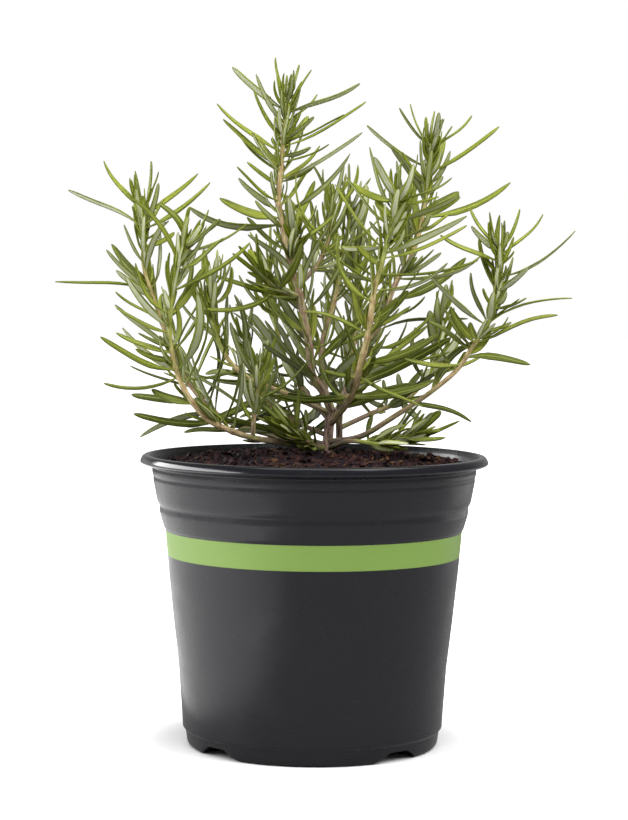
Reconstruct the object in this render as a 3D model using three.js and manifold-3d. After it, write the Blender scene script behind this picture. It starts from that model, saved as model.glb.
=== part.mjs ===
// Potted rosemary: a plastic nursery pot, its potting mix, a woody trunk and its leafy stems.
// Millimetres, +Z up, origin on the pot's axis at the level of its feet, front towards -Y.
import * as THREE from 'three';
import { mergeVertices } from 'three/addons/utils/BufferGeometryUtils.js';
import Module from 'manifold-3d';

const wasm = await Module();
wasm.setup();

// ---------- driving dimensions ----------

const POT_SIDES = 36;
const CLEAR = 0.3; // between pieces that touch
const WALL = 1.1;

// Outside of the pot, [radius, height] from the foot up: step, tapered wall, stepped collar, rolled lip.
const POT_OUTSIDE = [
  [38.8, 0], [41.2, 1.2], [42.0, 5.0], [42.9, 6.2], [44.2, 25], [47.0, 50], [48.9, 70.5],
  [50.3, 74.6], [50.7, 79], [52.3, 82], [53.2, 89], [54.3, 91], [57.2, 92.5], [57.3, 93.8],
  [56.3, 95.2], [55.2, 95.7], [54.3, 95.4],
];
// Inside of the pot, from the floor up.
const POT_INSIDE = [
  [38.2, 1.3], [40.2, 2.4], [41.0, 6.0], [43.1, 25], [45.9, 50], [47.8, 70.5], [49.2, 75.2],
  [49.7, 79.6], [51.2, 82.6], [52.1, 89], [53.3, 93],
];

const MOUTH = { flare: 0.8, rise: 10 }; // the pot's space runs on past its lip

const FOOT = { recess: 30, slope: 2.2, lift: 2.6 }; // raised middle of the floor, inside a ring foot
const NOTCH = { count: 4, turn: 42, below: 5, height: 3.3, mouth: 18.5, roof: 7.5, from: 26, to: 60 };
const DRAIN = { radius: 4, at: 33, length: 12, sides: 16 };

const SOIL = {
  // The mix's side inside the wall, then its surface, as [radius, height].
  side: [[37.9, 1.6], [39.9, 2.7], [40.7, 6.2], [47.5, 70.7], [49.2, 79.8], [51.2, 85]],
  surface: [51.9, 46.5, 40, 32, 23, 12],
  top: 95.2, fall: 3.4, edge: 53, grain: 0.55,
};

// The trunk stands in the mix to this depth. The paths of the main stems start on its middle line.
const TRUNK = {
  path: [[4, 7, 80], [4, 7, 92], [4.6, 6.4, 102], [5.6, 5, 111]],
  root: 2.1, tip: 1.5, sides: 8, steps: 5,
};

// Facets round a stem, the distance between its rings, and the pieces that its neighbours keep clear of.
const STEM = { sides: 5, step: 11, fewest: 3, pieces: 16 };
const LEAF = {
  width: 2.8, thickness: 1.2, pieces: 4,
  outline: [[0, 0], [0.26, 1], [0.78, 0.85], [1, 0]], // [share of its length, share of its width]
  spacing: 6.0, // between the pairs of leaves along a stem
  last: 0.985, // share of a stem's length where its last pair sits
  shortest: 9,
  sunk: 0.2, // from a stem's middle line to the foot of a leaf
  bow: 0.05, // how far a leaf's middle is out of line, as a share of its length
  apart: 3.1, // least distance between the middle lines of leaves on different stems
  crossing: 1.5, // and on the same stem
};
// Pairs of leaves from the lowest to the apex: share of the stem's usual length, and degrees off its line.
const PAIR = { size: [1.1, 0.4], lean: [72, 28], start: [1, 0.3, 0], seed: 977 };
const HELD = { near: 4.5, turn: 50 }; // how near a leaf is, along and round its stem, that holds a pair's place
// A leaf within this many degrees of the front stands at least that far aside, so that the wood shows.
const FRONT = { within: 52, aside: 58, spread: 0.7 };
// What a draw gives each leaf of a pair: [the least, how much more at most].
const DRAWN = { turn: [-25, 50], size: [0.78, 0.4], lean: [-16, 32], lift: [0.1, 0.5], bow: [-0.09, 0.3] };
// What is tried for a leaf that is in the way: [degrees round its stem, share of its length].
const TRIES = [
  [0, 1], [25, 1], [-25, 1], [50, 0.9], [-50, 0.9], [75, 0.9], [-75, 0.9], [0, 0.6], [35, 0.6], [-35, 0.6],
];
const GROUND = { height: 97.6, rim: 62 }; // no leaf dips below this height within this radius

const COLOURS = { pot: 0x303034, soil: 0x3a2a26, trunk: 0x7a6248, stem: 0x6f8a3a };

// ---------- the stems ----------
// path: points up the stem; wood: radius at its root and its tip; leafy: where its leaves begin, as a share
// of its length; length: usual length of its leaves; tips: leaves placed one by one, each
// [share of the stem's length, x, y, z of the leaf's tip, how far it bows where that is unusual].

const STEMS = [
  {
    name: 'stem_centre', length: 27, shoots: [
      {
        path: [[5.5, 5, 110], [3, 4, 116], [-1, 3, 122], [-2, 3, 131], [-4, 4, 142], [-6, 4, 151],
          [-9, 4, 161], [-11, 5, 170], [-12.5, 5, 179], [-11.7, 5, 191], [-10.9, 5, 202], [-10, 5, 214.5]],
        wood: [1.5, 0.6], leafy: 0.1, tips: [
          [0.98, -14, 13, 227], [0.99, -10, 0, 220], [0.99, -6, 5, 224], [0.98, -2, 13, 223],
          [0.95, -28, 5, 223], [0.91, -20, -3, 220], [0.86, -21, 8, 216], [0.82, -33, 5, 211],
          [0.78, -31, 6, 206], [0.76, -21, -3, 201], [0.78, -20, 13, 201], [0.76, -25, 8, 200],
          [0.82, -15, 8, 200], [0.72, -23, 5, 192], [0.67, -26, -3, 190], [0.64, -26, 13, 187],
          [0.94, 14, 5, 218], [0.91, 0, 13, 215], [0.95, -8, 10, 212], [0.85, -3, 17, 208],
          [0.86, -1, 5, 207], [0.84, 16, 5, 212], [0.86, 9, 8, 208], [0.74, 15, 5, 202],
          [0.79, 4, 5, 198], [0.74, 1, 13, 198], [0.81, -2, 5, 197], [0.66, -3, 13, 190],
          [0.73, -1, 8, 191], [0.64, 11, 5, 195, 0.12], [0.35, -14, 16, 164], [0.62, -32, 5, 180],
          [0.6, -42, 5, 177, 0.1], [0.52, -23, 12, 174], [0.59, -20, -3, 179],
          [0.35, -36, 12, 155, -0.03], [0.26, -16, 12, 148], [0.21, -13, -9, 146]],
      },
      {
        path: [[-5.7, 4, 148], [-10.8, 0, 149.5], [-14.3, -4, 151.5], [-16.2, -6, 153.7]],
        wood: [0.9, 0.6], leafy: 0.55, tips: [
          [0.87, -19, 3, 163], [0.89, -26, -5, 161], [0.99, -22, -6, 163], [0.97, -25, -13, 164]],
      },
      {
        path: [[-8.7, 4, 160], [-7.2, 0, 164], [-7.3, -2, 168.3]],
        wood: [0.8, 0.5], leafy: 0.3, tips: [
          [0.99, -9, -10, 180], [0.99, -5, -2, 175], [0.71, 6, 7, 175], [0.1, -7, -9, 170]],
      },
      {
        path: [[-6, 4, 151], [2, 12, 161], [6, 15, 181]],
        wood: [0.9, 0.6], leafy: 0.25, tips: [],
      },
    ],
  },
  {
    name: 'stem_right_front', length: 29, shoots: [
      {
        path: [[5, 6, 105.5], [9, -1, 111], [12.6, -8, 117.5], [14.7, -14, 125.5], [17.3, -19, 138.5],
          [18.8, -21, 150.5], [21.5, -22, 160.5], [24, -22, 171], [26.5, -22, 181]],
        wood: [1.4, 0.6], leafy: 0.12, tips: [
          [0.93, 17, -14, 196], [0.98, 18, -30, 192], [0.99, 27, -22, 191], [0.99, 31, -22, 189],
          [0.88, 9, -30, 186], [0.97, 11, -22, 184], [0.79, 6, -14, 184], [0.91, 19, -21, 179],
          [0.83, 17, -22, 172], [0.97, 43, -22, 186], [0.96, 39, -22, 180], [0.89, 46, -14, 181],
          [0.78, 48, -22, 174], [0.76, 48, -22, 171], [0.83, 37, -14, 171], [0.66, 0, -29, 167],
          [0.68, 8, -21, 164], [0.73, 13, -22, 164], [0.8, 6, -17, 164], [0.48, 12, -18, 152],
          [0.35, 9, -14, 142], [0.47, -4, -18, 143, -0.1], [0.64, 42, -21, 159, 0.12],
          [0.7, 52, -18, 160], [0.52, 30, -11, 150], [0.5, 31, -7, 145], [0.31, 37, -4, 139, 0.08],
          [0.35, 39, -22, 136], [0.3, 35, -24, 113], [0.16, 1, -4, 127, 0.15], [0.29, 3, -11, 124],
          [0.15, -9, -3, 116], [0.19, -12, -14, 116]],
      },
    ],
  },
  {
    name: 'stem_right_rear', length: 28, shoots: [
      {
        path: [[4.1, 6.9, 97], [7.8, 8.6, 99.5], [8.2, 8.6, 106], [8.8, 8.8, 113], [15, 16, 126],
          [22, 22, 139], [27, 26, 152], [33, 28, 163], [36.5, 29, 176], [38, 30, 189], [39.5, 30, 201]],
        wood: [1.1, 0.55], leafy: 0.3, tips: [
          [0.97, 32, 38, 214], [0.98, 28, 30, 212], [0.99, 40, 30, 211], [0.99, 41, 22, 210],
          [0.97, 46, 30, 206], [0.98, 53, 35, 210], [0.89, 44, 42, 203], [0.92, 17, 30, 206],
          [0.91, 62, 30, 206], [0.87, 27, 22, 197], [0.88, 29, 28, 197], [0.84, 43, 30, 189],
          [0.8, 49, 37, 184], [0.78, 49, 29, 182], [0.77, 66, 29, 187], [0.73, 45, 27, 176],
          [0.59, 40, 27, 164], [0.59, 43, 35, 163], [0.59, 34, 19, 163], [0.58, 56, 26, 162, 0.12],
          [0.45, 37, 23, 148, 0.12]],
      },
    ],
  },
  {
    name: 'stem_far_right', length: 24, shoots: [
      {
        path: [[4.5, 6.5, 99.5], [15.3, -1, 102], [24, -5, 107.5], [38.4, -9.5, 117.7], [46.5, -11, 125],
          [50.5, -12.5, 131.5], [56, -14, 140], [59.1, -14, 150], [59.7, -14, 158], [59.4, -14, 164.5]],
        wood: [0.95, 0.55], leafy: 0.6, tips: [
          [0.88, 60, -2, 175], [0.88, 61, -9, 173], [0.99, 50, -6, 177], [0.98, 50, -14, 171],
          [0.95, 40, -14, 168], [0.91, 54, -12, 162], [0.97, 73, -14, 175], [0.9, 85, 0, 170, 0.08],
          [0.94, 64, -11, 163], [0.87, 69, -14, 158], [0.85, 68, -22, 158], [0.79, 68, -14, 148],
          [0.77, 62, -9, 152], [0.73, 83, -12, 148, -0.1], [0.7, 64, -5, 140], [0.74, 50, -14, 156],
          [0.79, 54, -14, 151], [0.75, 57, -22, 150], [0.73, 36, -14, 156], [0.64, 42, -13, 144],
          [0.66, 43, -21, 145], [0.67, 50, -13, 140], [0.63, 37, -9, 140, -0.05], [0.57, 29, -11, 128],
          [0.54, 40, -8, 134], [0.44, 54, -9, 134, 0.22]],
      },
    ],
  },
  {
    name: 'stem_left_front', length: 26, shoots: [
      {
        path: [[4, 7, 97.5], [-10, -6, 100], [-21, -14, 102.3], [-29, -20, 105.5], [-35, -24, 109.2],
          [-42.8, -28, 121], [-45.8, -29.5, 134], [-45.2, -30, 149], [-42.7, -30, 159.3],
          [-40.6, -30, 164.5]],
        wood: [1.2, 0.55], leafy: 0.36, tips: [
          [0.99, -50, -30, 177, -0.15], [0.99, -40, -27, 176], [0.99, -34, -30, 175],
          [0.99, -30, -38, 172], [0.97, -22, -22, 171], [0.92, -29, -38, 166],
          [0.92, -59, -30, 179, -0.15], [0.86, -21, -22, 165], [0.75, -60, -30, 154],
          [0.74, -63, -30, 144], [0.68, -63, -29, 136], [0.63, -67, -40, 135], [0.66, -57, -29, 131],
          [0.61, -67, -28, 120, 0.12], [0.52, -52, -26, 118], [0.53, -59, -18, 116],
          [0.43, -58, -22, 110, 0.05], [0.37, -42, -19, 104, -0.1], [0.7, -56, -29, 136]],
      },
      {
        path: [[-20, -13.4, 102.2], [-19.5, -15, 110.5], [-18.5, -15, 117], [-18.4, -15, 126]],
        wood: [0.8, 0.5], leafy: 0.3, tips: [
          [0.86, -27, -7, 131], [0.99, -22, -15, 132], [0.99, -15, -15, 133], [0.41, -22, -12, 117]],
      },
      {
        path: [[0, 3.2, 98.2], [-2, -4, 100], [-8, -9, 104.5]],
        wood: [0.8, 0.5], leafy: 0.5, tips: [
          [0.97, -18, -9, 113], [0.95, -14, -4, 112], [0.81, -19, 1, 108], [0.89, -7, -8, 115],
          [0.69, -3, -6, 111]],
      },
    ],
  },
  {
    name: 'stem_left_rear', length: 25, shoots: [
      {
        path: [[4, 7, 98], [-15, 18, 101], [-31, 23, 106], [-43, 25, 118], [-51, 25, 136],
          [-57, 24, 152.5], [-58.6, 24, 159], [-58, 24, 172], [-58.3, 24, 178.5]],
        wood: [1, 0.55], leafy: 0.36, tips: [
          [0.99, -62, 32, 190], [0.99, -56, 24, 193], [0.98, -72, 24, 193], [0.97, -40, 24, 189],
          [0.93, -36, 24, 186], [0.93, -84, 24, 183, -0.05], [0.89, -62, 32, 180], [0.78, -70, 32, 165],
          [0.75, -71, 24, 163], [0.73, -67, 16, 156], [0.75, -87, 12, 152, -0.06], [0.94, -51, 16, 180],
          [0.9, -50, 25, 173], [0.88, -48, 24, 169]],
      },
    ],
  },
  {
    name: 'stem_mid_left', length: 25, shoots: [
      {
        path: [[5.5, 5, 109], [-10, 0, 116], [-22, -1, 121], [-30, -1, 129], [-34, -1, 141],
          [-34, -1, 154]],
        wood: [0.9, 0.55], leafy: 0.16, tips: [],
      },
    ],
  },
  {
    name: 'stem_middle_rear', length: 26, shoots: [
      {
        path: [[5.3, 5.5, 108.5], [2, 14, 129], [7, 19, 149], [10, 20, 166], [12, 20, 180]],
        wood: [1, 0.55], leafy: 0.14, tips: [
          [0.77, -3, 20, 168], [0.61, 1, 27, 161]],
      },
    ],
  },
  {
    name: 'stem_low_right', length: 20, shoots: [
      {
        path: [[4, 7, 97], [11.6, -3, 100.5], [20, -8, 100], [25, -10, 100.3], [29, -11, 101.8],
          [33, -12, 104]],
        wood: [0.85, 0.55], leafy: 0.5, tips: [
          [0.95, 47, -12, 108, 0.1], [0.97, 41, -12, 111], [0.95, 35, -4, 111], [0.85, 42, -19, 103]],
      },
    ],
  },
  {
    name: 'stem_mid_right', length: 24, shoots: [
      {
        path: [[8.2, 8.6, 104], [20, 16, 109], [32, 22, 114], [40, 25, 124], [43, 26, 143]],
        wood: [0.9, 0.55], leafy: 0.22, tips: [
          [0.41, 35, 12, 107], [0.23, 18, 8, 100], [0.32, 18, 21, 113], [0.46, 37, 30, 123],
          [0.45, 28, 21, 122], [0.58, 38, 16, 125], [0.6, 50, 36, 131]],
      },
    ],
  },
  {
    name: 'stem_low_rear', length: 22, shoots: [
      {
        path: [[4, 7, 98.5], [-8, 27, 101], [-16, 38, 108], [-18, 43, 120]],
        wood: [0.9, 0.55], leafy: 0.3, tips: [],
      },
    ],
  },
  {
    name: 'stem_rear_left', length: 25, shoots: [
      {
        path: [[5.2, 5.6, 106.5], [-8, 24, 122], [-14, 30, 140], [-16, 32, 160]],
        wood: [1, 0.55], leafy: 0.2, tips: [],
      },
    ],
  },
  {
    name: 'stem_low_left', length: 22, shoots: [
      {
        path: [[4.6, 6.5, 101.5], [-8, 10, 107], [-19, 11, 117], [-24, 12, 136]],
        wood: [0.9, 0.55], leafy: 0.2, tips: [],
      },
    ],
  },
  {
    name: 'stem_rear', length: 25, shoots: [
      {
        path: [[5, 6, 104], [10, 26, 116], [13, 35, 130], [14, 39, 150], [13, 40, 166]],
        wood: [1, 0.55], leafy: 0.25, tips: [],
      },
    ],
  },
];

// ---------- solids ----------

function material(colour, roughness) {
  return new THREE.MeshStandardMaterial({ color: colour, roughness, metalness: 0 });
}

function solidOf(geometry) {
  geometry.deleteAttribute('normal');
  geometry.deleteAttribute('uv');
  const merged = mergeVertices(geometry, 1e-4);
  return new wasm.Manifold(new wasm.Mesh({
    numProp: 3,
    vertProperties: new Float32Array(merged.attributes.position.array),
    triVerts: new Uint32Array(merged.index.array),
  }));
}

function meshOf(name, solid, surface) {
  const { vertProperties, triVerts } = solid.getMesh();
  const geometry = new THREE.BufferGeometry();
  geometry.setAttribute('position', new THREE.BufferAttribute(vertProperties, 3));
  geometry.setIndex(new THREE.BufferAttribute(triVerts, 1));
  geometry.computeVertexNormals();
  const mesh = new THREE.Mesh(geometry, surface);
  mesh.name = name;
  return mesh;
}

// A lathe turned about Z from [radius, height] points; its two ends run in to the axis.
function turned(points) {
  const first = points[0];
  const last = points[points.length - 1];
  const outline = [[0, first[1]], ...points, [0, last[1]]].map(([r, z]) => new THREE.Vector2(r, z));
  return new THREE.LatheGeometry(outline, POT_SIDES).rotateX(Math.PI / 2);
}

// The gaps between the feet: bars of trapezoid section that run out from near the middle.
function notches(grow) {
  const top = NOTCH.height + grow;
  const section = new THREE.Shape();
  section.moveTo(-NOTCH.mouth / 2 - grow, -NOTCH.below);
  section.lineTo(NOTCH.mouth / 2 + grow, -NOTCH.below);
  section.lineTo(NOTCH.mouth / 2 + grow, 0);
  section.lineTo(NOTCH.roof / 2 + grow, top);
  section.lineTo(-NOTCH.roof / 2 - grow, top);
  section.lineTo(-NOTCH.mouth / 2 - grow, 0);
  section.closePath();
  const bar = new THREE.ExtrudeGeometry(section, { depth: NOTCH.to - NOTCH.from, bevelEnabled: false });
  bar.rotateX(Math.PI / 2).translate(0, -NOTCH.from, 0);
  return ringOf(bar);
}

function drains() {
  const hole = new THREE.CylinderGeometry(DRAIN.radius, DRAIN.radius, DRAIN.length, DRAIN.sides);
  hole.rotateX(Math.PI / 2).translate(0, -DRAIN.at, 0);
  return ringOf(hole);
}

// Copies of a geometry round the axis at the notches' angles, as one solid.
function ringOf(geometry) {
  let all = null;
  for (let i = 0; i < NOTCH.count; i += 1) {
    const turn = THREE.MathUtils.degToRad(NOTCH.turn + (360 / NOTCH.count) * i);
    const copy = solidOf(geometry.clone().rotateZ(turn));
    all = all ? all.add(copy) : copy;
  }
  return all;
}

function pot() {
  const foot = [[FOOT.recess, FOOT.lift], [FOOT.recess + FOOT.slope, 0]];
  const outside = solidOf(turned([...foot, ...POT_OUTSIDE]));
  const lip = POT_INSIDE[POT_INSIDE.length - 1];
  const space = turned([...insideFloor(0), ...POT_INSIDE, [lip[0] + MOUTH.flare, lip[1] + MOUTH.rise]]);
  const inside = solidOf(space).subtract(notches(WALL));
  return outside.subtract(notches(0)).subtract(inside).subtract(drains());
}

// The floor inside the ring foot: its raised middle and the slope down to the foot.
function insideFloor(gap) {
  const wide = FOOT.recess + WALL + gap;
  return [[wide, FOOT.lift + WALL + gap], [wide + FOOT.slope, POT_INSIDE[0][1] + gap]];
}

// ---------- potting mix ----------

// Height of the mix at a point: a low mound, with crumbs as a sum of waves.
function soilHeight(x, y) {
  const out = Math.hypot(x, y) / SOIL.edge;
  const crumbs = Math.sin(x * 0.71 + 1.3) * Math.cos(y * 0.83) + Math.sin(x * 1.9 - y * 1.4) * 0.6
    + Math.cos(x * 1.1 + y * 2.3) * 0.5;
  return SOIL.top - SOIL.fall * out ** 3 + SOIL.grain * crumbs;
}

function soil() {
  const surface = SOIL.surface.map((r) => [r, SOIL.top]);
  const heap = turned([...insideFloor(CLEAR), ...SOIL.side, ...surface]);
  const place = heap.attributes.position;
  for (let i = 0; i < place.count; i += 1) {
    if (place.getZ(i) === SOIL.top) place.setZ(i, soilHeight(place.getX(i), place.getY(i)));
  }
  const { path, root, sides, steps } = TRUNK;
  const hole = tube(path, root + CLEAR, root + CLEAR, sides, steps, CLEAR);
  return solidOf(heap).subtract(notches(WALL + CLEAR)).subtract(hole);
}

// ---------- stems and leaves ----------

// Bends a unit-high geometry on Y along a spine: spine(u) gives the centre, side and face directions,
// and the half width and half depth there.
function bent(geometry, spine) {
  const place = geometry.attributes.position;
  for (let i = 0; i < place.count; i += 1) {
    const { centre, side, face, wide, deep } = spine(place.getY(i) + 0.5);
    const point = centre.clone()
      .addScaledVector(side, place.getX(i) * wide)
      .addScaledVector(face, place.getZ(i) * deep);
    place.setXYZ(i, point.x, point.y, point.z);
  }
  return geometry;
}

function curveOf(path) {
  return new THREE.CatmullRomCurve3(path.map((p) => new THREE.Vector3(...p)), false, 'centripetal');
}

// A tapered round tube along a path, run on at both ends by the given amount.
function tube(path, root, tip, sides, steps, past = 0) {
  const curve = curveOf(path);
  const frames = curve.computeFrenetFrames(steps);
  return solidOf(bent(new THREE.CylinderGeometry(1, 1, 1, sides, steps), (u) => {
    const ring = Math.round(u * steps);
    const centre = curve.getPointAt(ring / steps);
    if (ring === 0) centre.addScaledVector(frames.tangents[0], -past);
    if (ring === steps) centre.addScaledVector(frames.tangents[steps], past);
    const radius = root + (tip - root) * u;
    return { centre, side: frames.binormals[ring], face: frames.normals[ring], wide: radius, deep: radius };
  }));
}

// Park and Miller's generator, so that every build draws the same numbers.
function drawsFrom(seed) {
  let state = seed;
  return () => {
    state = (state * 16807) % 2147483647;
    return state / 2147483647;
  };
}

// The middle line of a leaf: a quadratic curve, from inside its stem to its tip.
function leafLine(root, face, tip, bow) {
  const middle = root.clone().lerp(tip, 0.5).addScaledVector(face, -2 * bow * root.distanceTo(tip));
  return new THREE.QuadraticBezierCurve3(root, middle, tip);
}

function leafSolid(line, face) {
  const outline = LEAF.outline.map(([u, full]) => new THREE.Vector2(full, u - 0.5));
  return solidOf(bent(new THREE.LatheGeometry(outline, 3), (u) => {
    const tangent = line.getTangent(u);
    const side = tangent.clone().cross(face).normalize();
    return {
      centre: line.getPoint(u), side, face: side.clone().cross(tangent),
      wide: LEAF.width / Math.sqrt(3), deep: LEAF.thickness / 1.5,
    };
  }));
}

// ---------- clearance between stems ----------

// Shortest distance between two straight pieces.
function gapBetween(a, b) {
  const u = a.to.clone().sub(a.from);
  const v = b.to.clone().sub(b.from);
  const w = a.from.clone().sub(b.from);
  const uu = u.dot(u);
  const vv = v.dot(v);
  const uv = u.dot(v);
  const uw = u.dot(w);
  const vw = v.dot(w);
  const spread = uu * vv - uv * uv;
  let s = spread > 1e-9 ? THREE.MathUtils.clamp((uv * vw - vv * uw) / spread, 0, 1) : 0;
  const t = THREE.MathUtils.clamp((uv * s + vw) / vv, 0, 1);
  s = THREE.MathUtils.clamp((uv * t - uw) / uu, 0, 1);
  return w.addScaledVector(u, s).addScaledVector(v, -t).length();
}

function piecesOf(curve, count, thick) {
  const points = curve.getPoints(count);
  return points.slice(1).map((to, i) => ({ from: points[i], to, thick }));
}

// Straight pieces of every stem and leaf so far: each with the stem that owns it, and whether it is
// wood or the foot of a leaf.
const placed = [];

function isClear(pieces, owner) {
  for (const { to, from } of pieces) {
    if (Math.hypot(to.x, to.y) < GROUND.rim && Math.min(from.z, to.z) < GROUND.height) return false;
  }
  return placed.every((other) => pieces.every((piece, i) => {
    if (other.owner !== owner) return gapBetween(piece, other) > piece.thick + other.thick;
    return i === 0 || other.foot || gapBetween(piece, other) > LEAF.crossing;
  }));
}

// ---------- the plant ----------

function addLeaf(stem, root, along, tip, bow) {
  const out = tip.clone().sub(root).projectOnPlane(along).normalize();
  const way = tip.clone().sub(root).normalize();
  const face = along.clone().sub(out).projectOnPlane(way).normalize();
  const line = leafLine(root.clone().addScaledVector(out, LEAF.sunk), face, tip, bow);
  const pieces = piecesOf(line, LEAF.pieces, LEAF.apart / 2);
  if (!isClear(pieces, stem.name)) return false;
  pieces.forEach((piece, i) => placed.push({ ...piece, owner: stem.name, foot: i === 0 }));
  stem.leaves.push(leafSolid(line, face));
  return true;
}

// A point on the middle line of a shoot's wood, which is straight between its rings.
function middleOf({ curve, rings }, share) {
  const below = Math.min(Math.floor(share * rings), rings - 1);
  const from = curve.getPointAt(below / rings);
  return from.lerp(curve.getPointAt((below + 1) / rings), share * rings - below);
}

function tracedLeaves(stem, shoot) {
  for (const [share, x, y, z, bow = LEAF.bow] of shoot.tips) {
    const along = shoot.curve.getTangentAt(share);
    const root = middleOf(shoot, share);
    const tip = new THREE.Vector3(x, y, z);
    const out = tip.clone().sub(root).projectOnPlane(along).normalize();
    if (addLeaf(stem, root, along, tip, bow)) shoot.held.push({ share, out });
  }
}

// Whether a traced leaf already stands at a place along and round its shoot.
function isHeld({ held, curve }, share, out) {
  const turn = THREE.MathUtils.degToRad(HELD.turn);
  return held.some((leaf) => Math.abs(leaf.share - share) * curve.getLength() < HELD.near
    && leaf.out.angleTo(out) < turn);
}

// A leaf's turn round its stem, swung to one side if the leaf would face the front.
function offFront(along, start, turn, side) {
  const { degToRad, radToDeg } = THREE.MathUtils;
  const out = start.clone().applyAxisAngle(along, degToRad(turn));
  if (-out.y < Math.cos(degToRad(FRONT.within))) return turn;
  const aside = radToDeg(Math.atan2(out.x, -out.y));
  return turn - aside + side * (FRONT.aside + FRONT.spread * Math.abs(aside));
}

// Pairs of opposite leaves, each pair a quarter turn on from the last, closing up towards the apex. A place
// that a traced leaf holds is passed over.
function pairedLeaves(stem, shoot, draw) {
  const { lerp } = THREE.MathUtils;
  const drawn = ([least, more]) => least + more * draw();
  const long = shoot.curve.getLength();
  const count = Math.floor((long * (1 - shoot.leafy)) / LEAF.spacing);
  for (let i = 0; i <= count; i += 1) {
    const share = Math.min(shoot.leafy + (i * LEAF.spacing) / long, LEAF.last);
    const height = (share - shoot.leafy) / (1 - shoot.leafy);
    for (let k = 0; k < 2; k += 1) {
      const swung = (i % 2) * 90 + k * 180 + drawn(DRAWN.turn);
      const size = stem.length * lerp(...PAIR.size, height ** 2) * drawn(DRAWN.size);
      const lean = lerp(...PAIR.lean, height) + drawn(DRAWN.lean);
      const lift = drawn(DRAWN.lift);
      const bow = drawn(DRAWN.bow);
      const along = shoot.curve.getTangentAt(share);
      const start = new THREE.Vector3(...PAIR.start).projectOnPlane(along).normalize();
      const turn = offFront(along, start, swung, i % 4 < 2 ? 1 : -1);
      const out = start.clone().applyAxisAngle(along, THREE.MathUtils.degToRad(turn));
      if (isHeld(shoot, share, out)) continue;
      addFirstClear(stem, shoot, share, { along, start, turn, size, lean, lift, bow });
    }
  }
}

// Tries a leaf as drawn, then swung round its stem or shorter, until it clears its neighbours.
function addFirstClear(stem, shoot, share, { along, start, turn, size, lean, lift, bow }) {
  const root = middleOf(shoot, share);
  const angle = THREE.MathUtils.degToRad(lean);
  for (const [swing, shrink] of TRIES) {
    const out = start.clone().applyAxisAngle(along, THREE.MathUtils.degToRad(turn + swing));
    const way = along.clone().multiplyScalar(Math.cos(angle)).addScaledVector(out, Math.sin(angle));
    way.z += lift;
    const tip = root.clone().addScaledVector(way.normalize(), Math.max(size * shrink, LEAF.shortest));
    if (addLeaf(stem, root, along, tip, bow)) return;
  }
}

function joined(parts) {
  return parts.reduce((all, part) => all.add(part));
}

function largest(solid) {
  return solid.decompose().reduce((best, part) => (part.volume() > best.volume() ? part : best));
}

function plant() {
  const bark = material(COLOURS.trunk, 0.9);
  const green = material(COLOURS.stem, 0.6);
  const { path, root, tip, sides, steps } = TRUNK;
  let taken = tube(path, root + CLEAR, tip + CLEAR, sides, steps, CLEAR);
  const meshes = [meshOf('trunk', tube(path, root, tip, sides, steps), bark)];
  piecesOf(curveOf(path), steps, root).forEach((piece) => placed.push({ ...piece, owner: 'trunk' }));
  for (const stem of STEMS) {
    stem.leaves = [];
    for (const shoot of stem.shoots) {
      shoot.held = [];
      shoot.curve = curveOf(shoot.path);
      shoot.rings = Math.max(STEM.fewest, Math.round(shoot.curve.getLength() / STEM.step));
      piecesOf(shoot.curve, STEM.pieces, shoot.wood[0])
        .forEach((piece) => placed.push({ ...piece, owner: stem.name }));
    }
  }
  for (const stem of STEMS) stem.shoots.forEach((shoot) => tracedLeaves(stem, shoot));
  STEMS.forEach((stem, i) => {
    const draw = drawsFrom(PAIR.seed * (i + 1));
    stem.shoots.forEach((shoot) => pairedLeaves(stem, shoot, draw));
  });
  for (const stem of STEMS) {
    const wood = [];
    const grown = [];
    for (const { path: points, wood: [thick, thin], rings } of stem.shoots) {
      wood.push(tube(points, thick, thin, STEM.sides, rings));
      grown.push(tube(points, thick + CLEAR, thin + CLEAR, STEM.sides, rings, CLEAR));
    }
    const whole = joined([...wood, ...stem.leaves]).subtract(taken);
    meshes.push(meshOf(stem.name, largest(whole), green));
    taken = taken.add(joined(grown));
  }
  return meshes;
}

const rosemary = new THREE.Group();
rosemary.add(meshOf('pot', pot(), material(COLOURS.pot, 0.45)));
rosemary.add(meshOf('soil', soil(), material(COLOURS.soil, 1)));
rosemary.add(...plant());

export default rosemary;
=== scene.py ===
"""Potted rosemary: the looks of the pot, its mix, the trunk and the leafy stems.

The plant is worked out in millimetres and its meshes are made in metres. +Z is up, the origin is on the
pot's axis at the level of its feet, and the front faces -Y.
"""

import random
from itertools import combinations
from math import atan2, cos, degrees, hypot, pi, radians, sin, sqrt
from types import SimpleNamespace as Values

import bpy
import numpy as np
from mathutils import Euler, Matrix, Quaternion, Vector, noise
from numpy.linalg import norm

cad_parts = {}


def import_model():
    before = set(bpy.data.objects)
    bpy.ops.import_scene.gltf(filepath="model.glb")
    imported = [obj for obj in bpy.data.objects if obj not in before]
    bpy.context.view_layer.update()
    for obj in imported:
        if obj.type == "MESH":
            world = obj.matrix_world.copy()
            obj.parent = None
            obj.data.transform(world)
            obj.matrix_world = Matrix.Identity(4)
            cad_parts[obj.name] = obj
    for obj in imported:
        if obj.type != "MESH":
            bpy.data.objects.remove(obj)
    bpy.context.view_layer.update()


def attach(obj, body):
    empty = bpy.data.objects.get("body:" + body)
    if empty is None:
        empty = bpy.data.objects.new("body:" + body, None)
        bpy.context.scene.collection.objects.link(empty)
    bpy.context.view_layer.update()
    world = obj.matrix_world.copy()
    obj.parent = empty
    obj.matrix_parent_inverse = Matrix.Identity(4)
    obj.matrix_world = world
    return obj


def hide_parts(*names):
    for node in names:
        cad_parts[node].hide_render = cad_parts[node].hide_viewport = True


MM = 0.001

# ---------- the photograph's view ----------

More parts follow.
